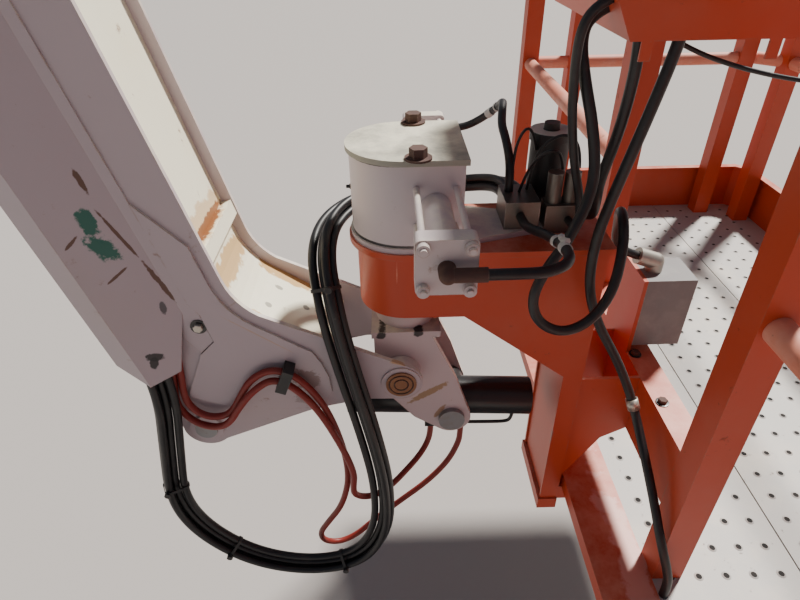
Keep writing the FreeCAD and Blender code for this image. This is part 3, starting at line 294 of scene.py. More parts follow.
noseMarks = [
    {"from": (0.4075, -0.097, -1.53), "to": (0.404, -0.097, -1.552), "width": 0.007, "colour": ochre,
     "amount": 0.85},
    {"from": (0.556, -0.099, -1.618), "to": (0.576, -0.099, -1.656), "width": 0.023, "colour": brown,
     "amount": 0.55, "ragged": 2.4, "breakSize": 90.0},
    {"from": (0.54, -0.099, -1.673), "to": (0.582, -0.099, -1.69), "width": 0.013, "colour": brown,
     "amount": 0.4, "ragged": 2.4, "breakSize": 110.0},
    {"from": (0.703, -0.094, -1.608), "to": (0.752, -0.094, -1.618), "width": 0.004, "colour": ochre,
     "amount": 0.6},
    {"from": (0.393, -0.094, -1.1124), "to": (0.4017, -0.094, -1.1633), "width": 0.003, "colour": brown,
     "ragged": 2.2, "breakSize": 60.0},
    {"from": (0.39, -0.094, -1.123), "to": (0.408, -0.094, -1.116), "width": 0.0024, "colour": brown,
     "ragged": 1.6},
    {"from": (0.445, -0.094, -1.5), "to": (0.555, -0.094, -1.582), "width": 0.0016, "colour": ochre,
     "amount": 0.35},
]
topPlateMarks = [
    {"from": (0.4285, 0.0, -1.401), "to": (0.4175, 0.0, -1.357), "width": 0.02, "depth": 0.098,
     "colour": ochre, "amount": 0.55, "ragged": 1.8, "breakSize": 40.0},
    {"from": (0.4275, 0.0, -1.397), "to": (0.4235, 0.0, -1.381), "width": 0.012, "depth": 0.094,
     "colour": rustOrange, "amount": 0.95, "ragged": 1.4, "breakSize": 110.0},
    {"from": (0.4659, -0.076, -1.5034), "to": (0.5825, -0.076, -1.5809), "width": 0.012, "depth": 0.02,
     "colour": ochre, "amount": 0.85, "ragged": 1.6, "breakSize": 45.0},
    {"from": (0.4659, 0.076, -1.5034), "to": (0.5825, 0.076, -1.5809), "width": 0.012, "depth": 0.02,
     "colour": ochre, "amount": 0.85, "ragged": 1.6, "breakSize": 45.0},
    {"from": (0.442, 0.0, -1.438), "to": (0.449, 0.0, -1.49), "width": 0.012, "depth": 0.095,
     "colour": ochre, "amount": 0.75, "ragged": 1.9, "breakSize": 40.0},
    {"from": (0.508, 0.03, -1.531), "to": (0.518, 0.03, -1.539), "width": 0.006, "depth": 0.006,
     "colour": soot, "amount": 0.6},
    {"from": (0.501, -0.03, -1.527), "to": (0.509, -0.03, -1.533), "width": 0.005, "depth": 0.007,
     "colour": soot, "amount": 0.6},
    {"from": (0.556, 0.01, -1.563), "to": (0.564, 0.01, -1.569), "width": 0.006, "depth": 0.007,
     "colour": soot, "amount": 0.7},
]
knuckleMarks = [
    {"from": (0.7367, -0.062, -1.7341), "to": (0.8103, -0.062, -1.6861), "width": 0.0075,
     "colour": (0.33, 0.19, 0.06), "amount": 0.8, "ragged": 1.2, "breakSize": 130.0},
    {"from": (0.784, -0.062, -1.776), "to": (0.804, -0.062, -1.742), "width": 0.0055,
     "colour": (0.33, 0.16, 0.05), "amount": 0.75},
    {"from": (0.685, -0.05, -1.58), "to": (0.7, -0.05, -1.574), "width": 0.008, "depth": 0.05,
     "colour": soot},
    {"from": (0.746, -0.05, -1.578), "to": (0.761, -0.05, -1.572), "width": 0.008, "depth": 0.05,
     "colour": soot},
]
drumMarks = [
    {"from": (0.656, 0.0, -1.3976), "to": (0.756, 0.0, -1.3976), "width": 0.0032, "depth": 0.12,
     "colour": soot, "stretch": 0.075, "ragged": 0.25},
    {"from": (0.64, -0.03, -1.2744), "to": (0.71, -0.03, -1.2744), "width": 0.0026, "depth": 0.08,
     "colour": soot, "stretch": 0.04, "ragged": 0.4},
    {"from": (0.7776, -0.17, -1.348), "to": (0.7776, -0.17, -1.373), "width": 0.0045, "depth": 0.03,
     "colour": ochre, "amount": 0.8},
]
supportMarks = [
    {"from": (0.7208, -0.085, -1.415), "to": (0.72, -0.085, -1.48), "width": 0.002,
     "colour": (0.8, 0.33, 0.2), "amount": 0.7, "ragged": 0.3},
    {"from": (0.986, -0.07, -1.72), "to": (1.005, -0.07, -1.86), "width": 0.011, "depth": 0.03,
     "colour": (0.22, 0.16, 0.14), "amount": 0.6, "ragged": 1.2, "breakSize": 30.0},
    {"from": (1.095, -0.5, -1.9489), "to": (1.15, -0.5, -1.9489), "width": 0.006, "depth": 0.5,
     "colour": (0.74, 0.4, 0.34), "amount": 0.85, "ragged": 2.2, "breakSize": 18.0},
    {"from": (1.212, -0.238, -1.4), "to": (1.224, -0.238, -1.432), "width": 0.016, "depth": 0.03,
     "colour": (0.2, 0.08, 0.035), "amount": 0.9, "ragged": 1.6},
]
pinMarks = [
    {"from": (0.808, -0.134, -1.774), "to": (0.825, -0.134, -1.777), "width": 0.006, "depth": 0.01,
     "colour": (0.06, 0.07, 0.1), "amount": 0.7, "ragged": 1.8},
]

# Materials; clouds and spots give a size and an amount

looks = {
    # The white paint's lavender-grey base is its colour in shade, a painted shade tint; its cream on
    # sun-facing faces is partly painted sunlight
    "whitePaint": {"fadedAndSunlit": (0.92, 0.88, 0.7), "fadeAndSunlightAmount": 0.8, "paint": (0.52, 0.435, 0.465),
        "stain": (0.5, 0.4, 0.33), "rust": (0.26, 0.13, 0.06), "worn": (0.35, 0.2, 0.11),
        "clouds": (3.2, 0.35), "spots": (26.0, 0.5), "gloss": 0.42},
    "orangePaint": {"fadedAndSunlit": (0.74, 0.34, 0.24), "fadeAndSunlightAmount": 0.75, "paint": (0.54, 0.058, 0.015),
        "stain": (0.5, 0.12, 0.07), "rust": (0.14, 0.05, 0.028), "worn": (0.3, 0.16, 0.1),
        "clouds": (4.0, 0.55), "spots": (34.0, 0.6), "gloss": 0.45},
    "rustySteel": {"paint": (0.085, 0.042, 0.034), "stain": (0.17, 0.085, 0.05),
        "rust": (0.05, 0.03, 0.025), "worn": (0.2, 0.15, 0.12), "clouds": (40.0, 0.8), "spots": (90.0, 0.9),
        "gloss": 0.75, "bump": 0.5},
    "pinSteel": {"paint": (0.3, 0.3, 0.31), "stain": (0.26, 0.2, 0.15), "rust": (0.12, 0.08, 0.05),
        "worn": (0.5, 0.5, 0.5), "clouds": (40.0, 0.5), "spots": (80.0, 0.7), "gloss": 0.5, "metallic": 0.7,
        "bump": 0.3},
    "blackPaint": {"paint": (0.018, 0.018, 0.02), "stain": (0.11, 0.1, 0.09), "rust": (0.12, 0.07, 0.04),
        "worn": (0.15, 0.13, 0.11), "clouds": (8.0, 0.35), "spots": (60.0, 0.2), "gloss": 0.3},
    "rodChrome": {"paint": (0.62, 0.62, 0.64), "stain": (0.45, 0.42, 0.38), "rust": (0.3, 0.25, 0.2),
        "worn": (0.6, 0.6, 0.6), "clouds": (12.0, 0.25), "spots": (90.0, 0.1), "gloss": 0.15,
        "metallic": 1.0, "bump": 0.05},
    "deckZinc": {"paint": (0.46, 0.45, 0.43), "stain": (0.58, 0.53, 0.46), "rust": (0.2, 0.16, 0.13),
        "worn": (0.6, 0.59, 0.57), "clouds": (9.0, 0.8), "spots": (60.0, 0.5), "gloss": 0.6,
        "metallic": 0.15, "bump": 0.4},
    "boxGrey": {"paint": (0.21, 0.2, 0.2), "stain": (0.42, 0.4, 0.37), "rust": (0.24, 0.15, 0.09),
        "worn": (0.5, 0.49, 0.47), "clouds": (14.0, 0.5), "spots": (50.0, 0.4), "gloss": 0.45},
    "zincFitting": {"paint": (0.52, 0.49, 0.43), "stain": (0.38, 0.31, 0.22), "rust": (0.25, 0.15, 0.08),
        "worn": (0.62, 0.6, 0.56), "clouds": (50.0, 0.5), "spots": (110.0, 0.4), "gloss": 0.4,
        "metallic": 0.75, "bump": 0.2},
    "blackPlastic": {"paint": (0.02, 0.02, 0.021), "stain": (0.13, 0.12, 0.11), "rust": (0.08, 0.07, 0.06),
        "worn": (0.09, 0.09, 0.09), "clouds": (12.0, 0.3), "spots": (70.0, 0.2), "gloss": 0.5},
    "hoseBlack": {"paint": (0.012, 0.012, 0.014), "stain": (0.1, 0.09, 0.08), "rust": (0.16, 0.14, 0.12),
        "worn": (0.05, 0.05, 0.05), "clouds": (16.0, 0.28), "spots": (90.0, 0.25),
        "gloss": 0.42, "edgeAmount": 0.0},
    "hoseRed": {"paint": (0.26, 0.022, 0.015), "stain": (0.3, 0.08, 0.05), "rust": (0.05, 0.02, 0.02),
        "worn": (0.2, 0.1, 0.08), "clouds": (22.0, 0.4), "spots": (90.0, 0.4),
        "gloss": 0.5, "edgeAmount": 0.0},
    "clothTape": {"paint": (0.62, 0.62, 0.6), "stain": (0.36, 0.33, 0.29), "rust": (0.12, 0.11, 0.1),
        "worn": (0.4, 0.4, 0.4), "clouds": (60.0, 0.6), "spots": (160.0, 0.7),
        "gloss": 0.8, "edgeAmount": 0.0},
    # Near-black disc that closes each deck hole: painted shade
    "holeShadeDisc": {"paint": (0.015, 0.015, 0.015), "stain": (0.05, 0.04, 0.035), "rust": (0.03, 0.02, 0.02),
        "worn": (0.02, 0.02, 0.02), "clouds": (40.0, 0.6), "spots": (90.0, 0.3),
        "gloss": 0.9, "edgeAmount": 0.0},
}
looks["pinSteel"]["marks"] = pinMarks
white = looks["whitePaint"]
orange = looks["orangePaint"]
looks["guardPaint"] = {**white, "marks": guardMarks, "markDepth": 0.035}
looks["nosePaint"] = {**white, "marks": noseMarks}
# The boom's top plates and knee bar take a brighter cream copy of the white paint: painted sunlight
looks["paintedSunlitWhite"] = {**white, "paint": (0.96, 0.93, 0.74), "stain": (0.9, 0.79, 0.48), "clouds": (3.2, 0.6),
                       "spots": (26.0, 0.8), "marks": topPlateMarks}
# Knuckle and drum whites also carry the lavender tint of the paint in shade: painted shade tint
looks["knucklePaint"] = {**white, "paint": (0.6, 0.49, 0.5), "marks": knuckleMarks}
looks["drumPaint"] = {**white, "paint": (0.64, 0.565, 0.58), "marks": drumMarks}
looks["coverPaint"] = {**white, "paint": (0.37, 0.36, 0.3), "stain": (0.25, 0.23, 0.19), "clouds": (9.0, 0.7),
                       "spots": (70.0, 0.5), "worn": (0.62, 0.55, 0.47), "gloss": 0.6}
looks["supportPaint"] = {**orange, "marks": supportMarks}
looks["fadedOrange"] = {**orange, "paint": (0.74, 0.26, 0.17), "stain": (0.78, 0.46, 0.38),
                        "clouds": (9.0, 0.9), "gloss": 0.6}
looks["pinRust"] = {**looks["rustySteel"], "paint": (0.3, 0.14, 0.07), "stain": (0.42, 0.22, 0.11),
                    "rust": (0.1, 0.05, 0.03), "worn": (0.36, 0.3, 0.26)}
looks["valveSteel"] = {**looks["zincFitting"], "paint": (0.2, 0.18, 0.16), "stain": (0.1, 0.08, 0.06),
                       "clouds": (22.0, 0.5)}
looks["lidGrey"] = {**looks["boxGrey"], "paint": (0.5, 0.52, 0.5), "gloss": 0.5}


def addMark(tree, mark, usualDepth, number):
    start, end = Vector(mark["from"]), Vector(mark["to"])
    run = end - start
    depth = mark.get("depth", usualDepth)
    return put(tree, "ShaderNodeGroup", (-100 + 220 * number, 500), {
        "Mark": (*mark["colour"], 1), "Centre": (start + end) / 2,
        "Half Sizes": (run.length / 2 + mark.get("stretch", 0.002), depth, mark["width"]),
        "Lean": math.atan2(run.z, run.x), "Amount": mark.get("amount", 0.95),
        "Ragged": mark.get("ragged", 1.0), "Break Size": mark.get("breakSize", 120.0)}, node_tree=localMark)


def paintedMaterial(name, look):
    material = bpy.data.materials.new(name)
    material.use_nodes = True
    tree = material.node_tree
    shader = tree.nodes["Principled BSDF"]
    shader.inputs["Metallic"].default_value = look.get("metallic", 0)
    stains = put(tree, "ShaderNodeGroup", (-700, 100), {
        "Paint": (*look["paint"], 1), "Stain": (*look["stain"], 1), "Rust": (*look["rust"], 1),
        "Cloud Size": look["clouds"][0], "Cloud Amount": look["clouds"][1], "Spot Size": look["spots"][0],
        "Spot Amount": look["spots"][1], "Gloss": look["gloss"]}, node_tree=paintStains)
    layers = [stains, put(tree, "ShaderNodeGroup", (-400, 200), {
        "Worn": (*look["worn"], 1), "Amount": look.get("edgeAmount", 0.7)}, node_tree=edgeWear)]
    # Paler colour on faces turned to the sun lamp: partly bleached paint, partly painted sunlight
    if "fadedAndSunlit" in look:
        layers.append(put(tree, "ShaderNodeGroup", (-250, 500), {
            "Faded And Sunlit": (*look["fadedAndSunlit"], 1), "Amount": look["fadeAndSunlightAmount"]}, node_tree=fadeAndPaintedSunlight))
    for number, mark in enumerate(look.get("marks", [])):
        layers.append(addMark(tree, mark, look.get("markDepth", 0.012), number))
    for under, over in zip(layers, layers[1:]):
        wire(tree, (under, "Color", over, "Color"))
    bump = put(tree, "ShaderNodeBump", (-300, -300), {"Strength": look.get("bump", 0.15), "Distance": 0.002})
    wire(tree, (layers[-1], "Color", shader, "Base Color"), (stains, "Roughness", shader, "Roughness"),
         (stains, "Height", bump, "Height"), (bump, "Normal", shader, "Normal"))
    return material


materials = {name: paintedMaterial(name, look) for name, look in looks.items()}
# Looks for single nodes; the brighter cream copy of the white paint on the top plates and knee bar is painted
# sunlight
nodeLooks = {"main_pin": "pinRust", "valve_group": "valveSteel", "hose_guard": "guardPaint",
             "nose_side_plates": "nosePaint", "nose_doublers": "nosePaint", "boom_side_plates": "nosePaint",
             "boom_cover_plates": "paintedSunlitWhite", "boom_knee_bar": "paintedSunlitWhite", "knuckle": "knucklePaint",
             "rotator_neck": "knucklePaint", "rotator_housing": "drumPaint", "rack_cylinders": "drumPaint",
             "rotator_cover_plate": "coverPaint", "mid_rails": "fadedOrange",
             "support_side_plates": "supportPaint", "support_post_plates": "supportPaint",
             "platform_inner_sill": "supportPaint", "platform_posts": "supportPaint"}
slotLooks = {"white_paint": "whitePaint", "orange_paint": "orangePaint", "rusty_steel": "rustySteel",
             "pin_steel": "pinSteel", "black_paint": "blackPaint", "rod_chrome": "rodChrome",
             "deck_zinc": "deckZinc", "box_grey": "boxGrey", "zinc_fitting": "zincFitting",
             "black_plastic": "blackPlastic", "hose_black": "hoseBlack", "hose_red": "hoseRed"}


def dressNodes():
    for part in frame["record"]["subparts"]:
        node = nodes[part["node"]]
        look = materials[nodeLooks.get(part["node"], slotLooks[part["material_slot"]])]
        for place in node.material_slots:
            place.material = look
        if not node.material_slots:
            node.data.materials.append(look)


dressNodes()
print("solids dressed")


def newPiece(name, mesh, slot, smooth=False, look=None):
    # A piece in one of the record's slots; with no look it takes the slot's own
    piece = placed(name, mesh)
    mesh.materials.clear()
    mesh.materials.append(materials[look or slotLooks[slot]])
    for face in mesh.polygons:
        face.use_smooth = smooth
    return piece


# Hoses and cables

def smoothLine(name, points, radius=0.0):
    # One open NURBS curve through the room of its control points
    curve = bpy.data.curves.new(name, "CURVE")
    curve.dimensions = "3D"
    curve.resolution_u = 10
    spline = curve.splines.new("NURBS")
    spline.points.add(len(points) - 1)
    for point, place in zip(spline.points, points):
        point.co = (*place, 1)
    spline.order_u = 3
    spline.use_endpoint_u = True
    curve.bevel_depth = radius
    curve.bevel_resolution = 5
    curve.use_fill_caps = True
    return curve


def plainMesh(name, curve):
    holder = placed(name + "Curve", curve)
    graph = bpy.context.evaluated_depsgraph_get()
    mesh = bpy.data.meshes.new_from_object(holder.evaluated_get(graph))
    bpy.data.objects.remove(holder)
    return mesh


def centreLine(points):
    mesh = plainMesh("line", smoothLine("line", points))
    places = [v.co.copy() for v in mesh.vertices]
    bpy.data.meshes.remove(mesh)
    return places


def layHose(name, places, radius, node, slot, body, bend=None):
    # bend holds the second body and the two points between which the hose would turn from one to the other;
    # only whether it is given is read, and such a hose is left fixed where it lies
    points = [Vector(p) for p in places]
    hose = newPiece(name, plainMesh(name, smoothLine(name, points, radius)), slot, True)
    path = centreLine(points)
    if node:
        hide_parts(node)
    if bend:
        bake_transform(hose)
    else:
        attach(hose, body)
    return path


# Where a hose would turn from one body to the next, between two points; the hoses and ties are handed these
# but do not use them

boomToKnuckle = ((0.5, 0, -1.9714), (0.7138, 0, -1.8966))
clampToKnuckle = ((0.53, 0, -1.605), (0.6475, 0, -1.7225))
knuckleToPlatform = ((0, 0, -1.655), (0, 0, -1.43))
knuckleToBarrel = ((0.63, 0, 0), (0.82, 0, 0))

# Four black hoses from the guard to the valves: the middle one's route, and the others' places beside it

bundle = {
    "boomSlope": 76,
    "radius": 0.007,
    "pitch": 0.0152,
    "row": 0.0134,
    "lower": [(0.2737, -0.102, -1.3251), (0.3105, -0.102, -1.4726), (0.3366, -0.119, -1.6349),
        (0.3166, -0.128, -1.7699), (0.2986, -0.134, -1.8899), (0.3356, -0.143, -1.9799),
        (0.4206, -0.149, -2.0629), (0.5306, -0.151, -2.0969), (0.6306, -0.149, -2.0769),
        (0.6806, -0.144, -1.9949), (0.6856, -0.137, -1.8749), (0.6676, -0.129, -1.7499),
        (0.6476, -0.1215, -1.6549)],
    "upper": [(0.6286, -0.1144, -1.5649), (0.6146, -0.104, -1.4749), (0.6036, -0.052, -1.4129),
        (0.6176, 0.042, -1.4029), (0.6736, 0.118, -1.4029), (0.7656, 0.14, -1.4019),
        (0.8506, 0.137, -1.3949), (0.8956, 0.112, -1.3829), (0.9136, 0.075, -1.3779),
        (0.9136, 0.04, -1.3779)],
}


def besideRoute(points, side, out):
    # A parallel route in the bundle; side and out are its place in the bundle's section
    slope = math.radians(bundle["boomSlope"])
    inward = Vector((-math.sin(slope), 0, -math.cos(slope)))
    line = (points[1] - points[0]).normalized()
    first = (inward - line * inward.dot(line)).normalized()
    offset = first * side + line.cross(first) * out
    moved = [points[0] + offset]
    for before, corner, after in zip(points, points[1:], points[2:]):
        arriving = (corner - before).normalized()
        leaving = (after - corner).normalized()
        halfway = (arriving + leaving).normalized()
        offset = offset - arriving * (offset.dot(halfway) / arriving.dot(halfway))
        moved.append(corner + offset)
        offset = offset - leaving * offset.dot(leaving)
    return moved + [points[-1] + offset]


def layBundle():
    # Each hose is one route cut where two solids meet
    middle = [Vector(p) for p in bundle["lower"] + bundle["upper"]]
    cut = len(bundle["lower"])
    pitch, row, radius = bundle["pitch"], bundle["row"], bundle["radius"]
    lines = {"lower": [], "upper": []}
    for number, (side, out) in enumerate(((-pitch, 0), (0, 0), (pitch, 0), (pitch / 2, -row)), 1):
        whole = besideRoute(middle, side, out)
        lines["lower"].append(layHose(f"blackHoseLower{number}", whole[:cut], radius,
                                      f"black_hose_lower_{number}", "hose_black", "boom",
                                      ("knuckle", *boomToKnuckle)))
        lines["upper"].append(layHose(f"blackHoseUpper{number}", whole[cut - 1:], radius,
                                      f"black_hose_upper_{number}", "hose_black", "knuckle",
                                      ("platform", *knuckleToPlatform)))
    return lines


# Two red hoses along the nose to the levelling cylinder

redHoses = {
    "radius": 0.006,
    "outerLower": [(0.3164, -0.1005, -1.3145), (0.3358, -0.1005, -1.3921), (0.3566, -0.1005, -1.4699),
        (0.3646, -0.101, -1.5649), (0.3606, -0.1025, -1.6169), (0.3556, -0.1055, -1.6629),
        (0.3666, -0.109, -1.6879), (0.3866, -0.112, -1.7029), (0.4116, -0.1125, -1.7049),
        (0.4336, -0.112, -1.6939), (0.4556, -0.112, -1.6529), (0.4776, -0.111, -1.6199),
        (0.5136, -0.11, -1.6009), (0.5556, -0.111, -1.6189), (0.5992, -0.113, -1.698),
        (0.6116, -0.1135, -1.7669)],
    "outerUpper": [(0.6116, -0.1135, -1.7669), (0.6256, -0.114, -1.8449), (0.6056, -0.112, -1.9549),
        (0.5656, -0.106, -2.0269), (0.5466, -0.101, -2.0679), (0.5526, -0.095, -2.1049),
        (0.5836, -0.086, -2.1249), (0.6206, -0.077, -2.1129), (0.6586, -0.068, -2.0769),
        (0.7136, -0.058, -2.0289), (0.7736, -0.046, -1.9819), (0.8176, -0.034, -1.9329),
        (0.8386, -0.023, -1.8899), (0.8416, -0.02, -1.8649), (0.8416, -0.02, -1.8269)],
    "innerLower": [(0.3035, -0.1005, -1.3177), (0.3229, -0.1005, -1.3953), (0.3436, -0.1005, -1.4729),
        (0.3506, -0.101, -1.5749), (0.3466, -0.103, -1.6269), (0.3386, -0.104, -1.6769),
        (0.3499, -0.108, -1.7034), (0.3732, -0.114, -1.7203), (0.4019, -0.12, -1.7228),
        (0.4278, -0.124, -1.7102), (0.4526, -0.125, -1.6689), (0.4796, -0.122, -1.6369),
        (0.5136, -0.115, -1.6169), (0.5516, -0.119, -1.6389), (0.5912, -0.1234, -1.7012),
        (0.6156, -0.1295, -1.7719)],
    "innerUpper": [(0.6156, -0.1295, -1.7719), (0.6356, -0.1345, -1.8299), (0.6296, -0.1325, -1.8799),
        (0.6296, -0.125, -1.9099), (0.6466, -0.115, -1.9329), (0.6736, -0.104, -1.9409),
        (0.7016, -0.09, -1.9309), (0.7316, -0.07, -1.9109), (0.7576, -0.046, -1.8989),
        (0.7756, -0.028, -1.8789), (0.7816, -0.02, -1.8549), (0.7816, -0.02, -1.8269)],
}


def layRedHoses():
    radius = redHoses["radius"]
    for number, side in ((1, "outer"), (2, "inner")):
        layHose(f"redHoseLower{number}", redHoses[side + "Lower"], radius, f"red_hose_lower_{number}",
                "hose_red", "boom", ("knuckle", *clampToKnuckle))
        layHose(f"redHoseUpper{number}", redHoses[side + "Upper"], radius, f"red_hose_upper_{number}",
                "hose_red", "knuckle", ("level_barrel", *knuckleToBarrel))


# Hoses and cables on the platform: the node, the radius and the route

platformCords = {
    "rackHoseNear": ("rack_hose_near", 0.007, [(0.8236, -0.263, -1.3349), (0.8556, -0.263, -1.3349),
        (0.8956, -0.257, -1.3379), (0.9296, -0.23, -1.3419), (0.9386, -0.18, -1.3499),
        (0.9296, -0.12, -1.3629), (0.9146, -0.076, -1.3749), (0.9116, -0.053, -1.3779),
        (0.9116, -0.03, -1.3779)]),
    "rackHoseFar": ("rack_hose_far", 0.007, [(0.8236, 0.263, -1.3349), (0.8536, 0.263, -1.3349),
        (0.8856, 0.258, -1.3189), (0.9116, 0.232, -1.2889), (0.9136, 0.188, -1.2649),
        (0.9036, 0.14, -1.2629), (0.8956, 0.096, -1.2769), (0.8976, 0.069, -1.2869),
        (0.8986, 0.044, -1.2989), (0.8996, 0.026, -1.3134), (0.8996, 0.016, -1.3339),
        (0.8996, 0.016, -1.3559)]),
    "valveCable": ("valve_cable", 0.006, [(0.9711, -0.096, -1.0739), (0.9515, -0.096, -1.0838),
        (0.9406, -0.097, -1.1069), (0.9396, -0.098, -1.1449), (0.9456, -0.095, -1.2049),
        (0.9616, -0.088, -1.2749), (0.9776, -0.084, -1.3199), (0.9846, -0.081, -1.3579),
        (0.9856, -0.0705, -1.3759), (0.9856, -0.052, -1.3859), (0.9856, -0.03, -1.3859)]),
    "junctionBoxCable": ("junction_box_cable", 0.0075, [(0.9776, -0.066, -1.0869), (0.958, -0.066, -1.0968),
        (0.9496, -0.074, -1.1229), (0.9576, -0.088, -1.1649), (0.9756, -0.101, -1.2249),
        (0.9856, -0.114, -1.2949), (0.9576, -0.134, -1.3599), (0.9216, -0.152, -1.4049),
        (0.9076, -0.16, -1.4449), (0.9216, -0.162, -1.4829), (0.9596, -0.16, -1.5049),
        (0.9996, -0.155, -1.4909), (1.0296, -0.143, -1.4469), (1.0416, -0.118, -1.3899),
        (1.0466, -0.09, -1.3629), (1.0536, -0.058, -1.3589), (1.0656, -0.024, -1.3789),
        (1.0816, 0.008, -1.4149), (1.0926, 0.03, -1.4569), (1.1115, 0.039, -1.4829),
        (1.1426, 0.039, -1.4939)]),
    "deckCable": ("deck_cable", 0.0075, [(1.0656, -0.103, -0.9299), (1.0656, -0.103, -1.0099),
        (1.0576, -0.106, -1.1099), (1.0376, -0.11, -1.2049), (1.0176, -0.11, -1.2949),
        (1.0016, -0.111, -1.3749), (1.0036, -0.113, -1.4549), (1.0276, -0.118, -1.5199),
        (1.0676, -0.128, -1.5849), (1.0996, -0.134, -1.6499), (1.1136, -0.156, -1.6949),
        (1.1196, -0.2, -1.7349), (1.1276, -0.248, -1.7849), (1.1346, -0.292, -1.8369),
        (1.1496, -0.312, -1.8869), (1.1556, -0.316, -1.9169), (1.1556, -0.316, -1.9489)]),
}
bundleLines = layBundle()
layRedHoses()
cordLines = {}
for cordName, (cordNode, cordRadius, cordRoute) in platformCords.items():
    cordLines[cordName] = layHose(cordName, cordRoute, cordRadius, cordNode, "hose_black", "platform")
print("hoses and cables laid")


# Small pieces: shared ways of making them

def showPiece(name, shape, slot, body, smooth=False, look=None):
    # The finished shape as a piece that rides on a body
    piece = newPiece(name, finished(shape, name), slot, smooth, look)
    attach(piece, body)


def finished(shape, name):
    bmesh.ops.remove_doubles(shape, verts=shape.verts, dist=0.000001)
    bmesh.ops.recalc_face_normals(shape, faces=shape.faces)
    mesh = bpy.data.meshes.new(name)
    shape.to_mesh(mesh)
    shape.free()
    return mesh


def skin(shape, loops):
    # Faces between each loop of points and the next
    for low, high in zip(loops, loops[1:]):
        for k in range(len(low)):
            n = (k + 1) % len(low)
            shape.faces.new((low[k], low[n], high[n], high[k]))


def loft(shape, rings):
    # Skin through closed rings of equal count, capped at both ends
    layers = [[shape.verts.new(p) for p in ring] for ring in rings]
    skin(shape, layers)
    shape.faces.new(layers[0][::-1])
    shape.faces.new(layers[-1])


def axesAlong(way):
    # A direction and two more across it
    axis = Vector(way).normalized()
    across = axis.orthogonal().normalized()
    return axis, across, axis.cross(across)


def turned(shape, place, way, profile, sides=24):
    # Revolve of (height, radius) pairs about the axis that starts at place
    axis, across, beyond = axesAlong(way)
    base = Vector(place)
    loft(shape, [[base + axis * height + (across * math.cos(a) + beyond * math.sin(a)) * radius
                  for a in (2 * math.pi * k / sides for k in range(sides))] for height, radius in profile])


def turnedRing(shape, place, way, profile, sides=36):
    # Revolve of a closed section of (height, radius) pairs
    axis, across, beyond = axesAlong(way)
    base = Vector(place)
    loops = []
    for a in (2 * math.pi * k / sides for k in range(sides)):
        out = across * math.cos(a) + beyond * math.sin(a)
        loops.append([shape.verts.new(base + axis * height + out * radius) for height, radius in profile])
    skin(shape, loops + loops[:1])


def bandRing(shape, centres, way, radius, thickness, width, lift=0.0004, steps=48):
    # Strap drawn tight round one or more hoses; the ring follows the outside of their circles
    axis, across, beyond = axesAlong(way)
    middle = sum(centres, Vector()) / len(centres)
    flat = [((c - middle).dot(across), (c - middle).dot(beyond)) for c in centres]

    def outline(grow):
        points = []
        for k in range(steps):
            a = 2 * math.pi * k / steps
            x, y = math.cos(a), math.sin(a)
            near = max(flat, key=lambda c: c[0] * x + c[1] * y)
            points.append((near[0] + x * (radius + grow), near[1] + y * (radius + grow)))
        return points

    inner, outer = outline(lift), outline(lift + thickness)
    loops = []
    for points, shift in ((inner, -0.5), (outer, -0.5), (outer, 0.5), (inner, 0.5)):
        loops.append([shape.verts.new(middle + axis * width * shift + across * x + beyond * y)
                      for x, y in points])
    skin(shape, loops + loops[:1])
    return [middle + across * x + beyond * y for x, y in outer]


def along(line, share):
    # Place and direction at a share of a sampled line
    number = min(max(int(share * (len(line) - 1)), 1), len(line) - 2)
    return line[number], (line[number + 1] - line[number - 1]).normalized()


# Cable ties on the black hoses, at these shares of each run's length

ties = {"width": 0.0055, "thickness": 0.0014, "headSize": 0.006, "headSink": 0.001,
        "lower": (0.30, 0.47, 0.66), "upper": (0.20,)}


def tieBundle():
    for run, body, second, blend in (("lower", "boom", "knuckle", boomToKnuckle),
                                     ("upper", "knuckle", "platform", knuckleToPlatform)):
        shape = bmesh.new()
        for share in ties[run]:
            place, way = along(bundleLines[run][1], share)
            centres = []
            for line in bundleLines[run]:
                centres.append(min(line, key=lambda p: abs((p - place).dot(way)) + (p - place).length * 0.2))
            centres = [c - way * (c - place).dot(way) for c in centres]
            outer = bandRing(shape, centres, way, bundle["radius"], ties["thickness"], ties["width"])
            head = min(outer, key=lambda p: p.y) + Vector((0, ties["headSink"], 0))
            turned(shape, head, (0, -1, 0), ((0, ties["headSize"]), (ties["headSize"], ties["headSize"])), 8)
        tie = newPiece("bundleTies" + run.capitalize(), finished(shape, "bundleTies" + run), "black_plastic")
        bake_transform(tie)


# White cloth tape on the hoses to the rack cylinders: where along the hose, and how wide

tape = {"thickness": 0.0009, "rackHoseNear": ((0.50, 0.013), (0.575, 0.008)),
        "rackHoseFar": ((0.22, 0.013), (0.27, 0.004)), "looseEndAt": 0.535,
        "looseEndProfile": ((0, 0.0022), (0.004, 0.0042))}


def tapeHoses():
    shape = bmesh.new()
    radius = bundle["radius"]
    for hose in ("rackHoseNear", "rackHoseFar"):
        for share, width in tape[hose]:
            place, way = along(cordLines[hose], share)
            bandRing(shape, [place], way, radius, tape["thickness"], width)
    for lean in (-1, 1):      # loose ends of the tape on the near hose
        place, way = along(cordLines["rackHoseNear"], tape["looseEndAt"])
        side = way.cross(Vector((0, 0, 1))).normalized()
        root = place + side.cross(way) * (radius + 0.0012) - side * 0.002
        tip = root + side * 0.004 + way * 0.011 * lean - Vector((0, 0.004, -0.002))
        turned(shape, root, tip - root, (*tape["looseEndProfile"], ((tip - root).length, 0.0048)), 6)
    showPiece("hoseTape", shape, "white_paint", "platform", look="clothTape")


# Clip that holds the deck cable to the floor beam

cableClip = {"share": 0.600, "width": 0.019, "thickness": 0.0022}


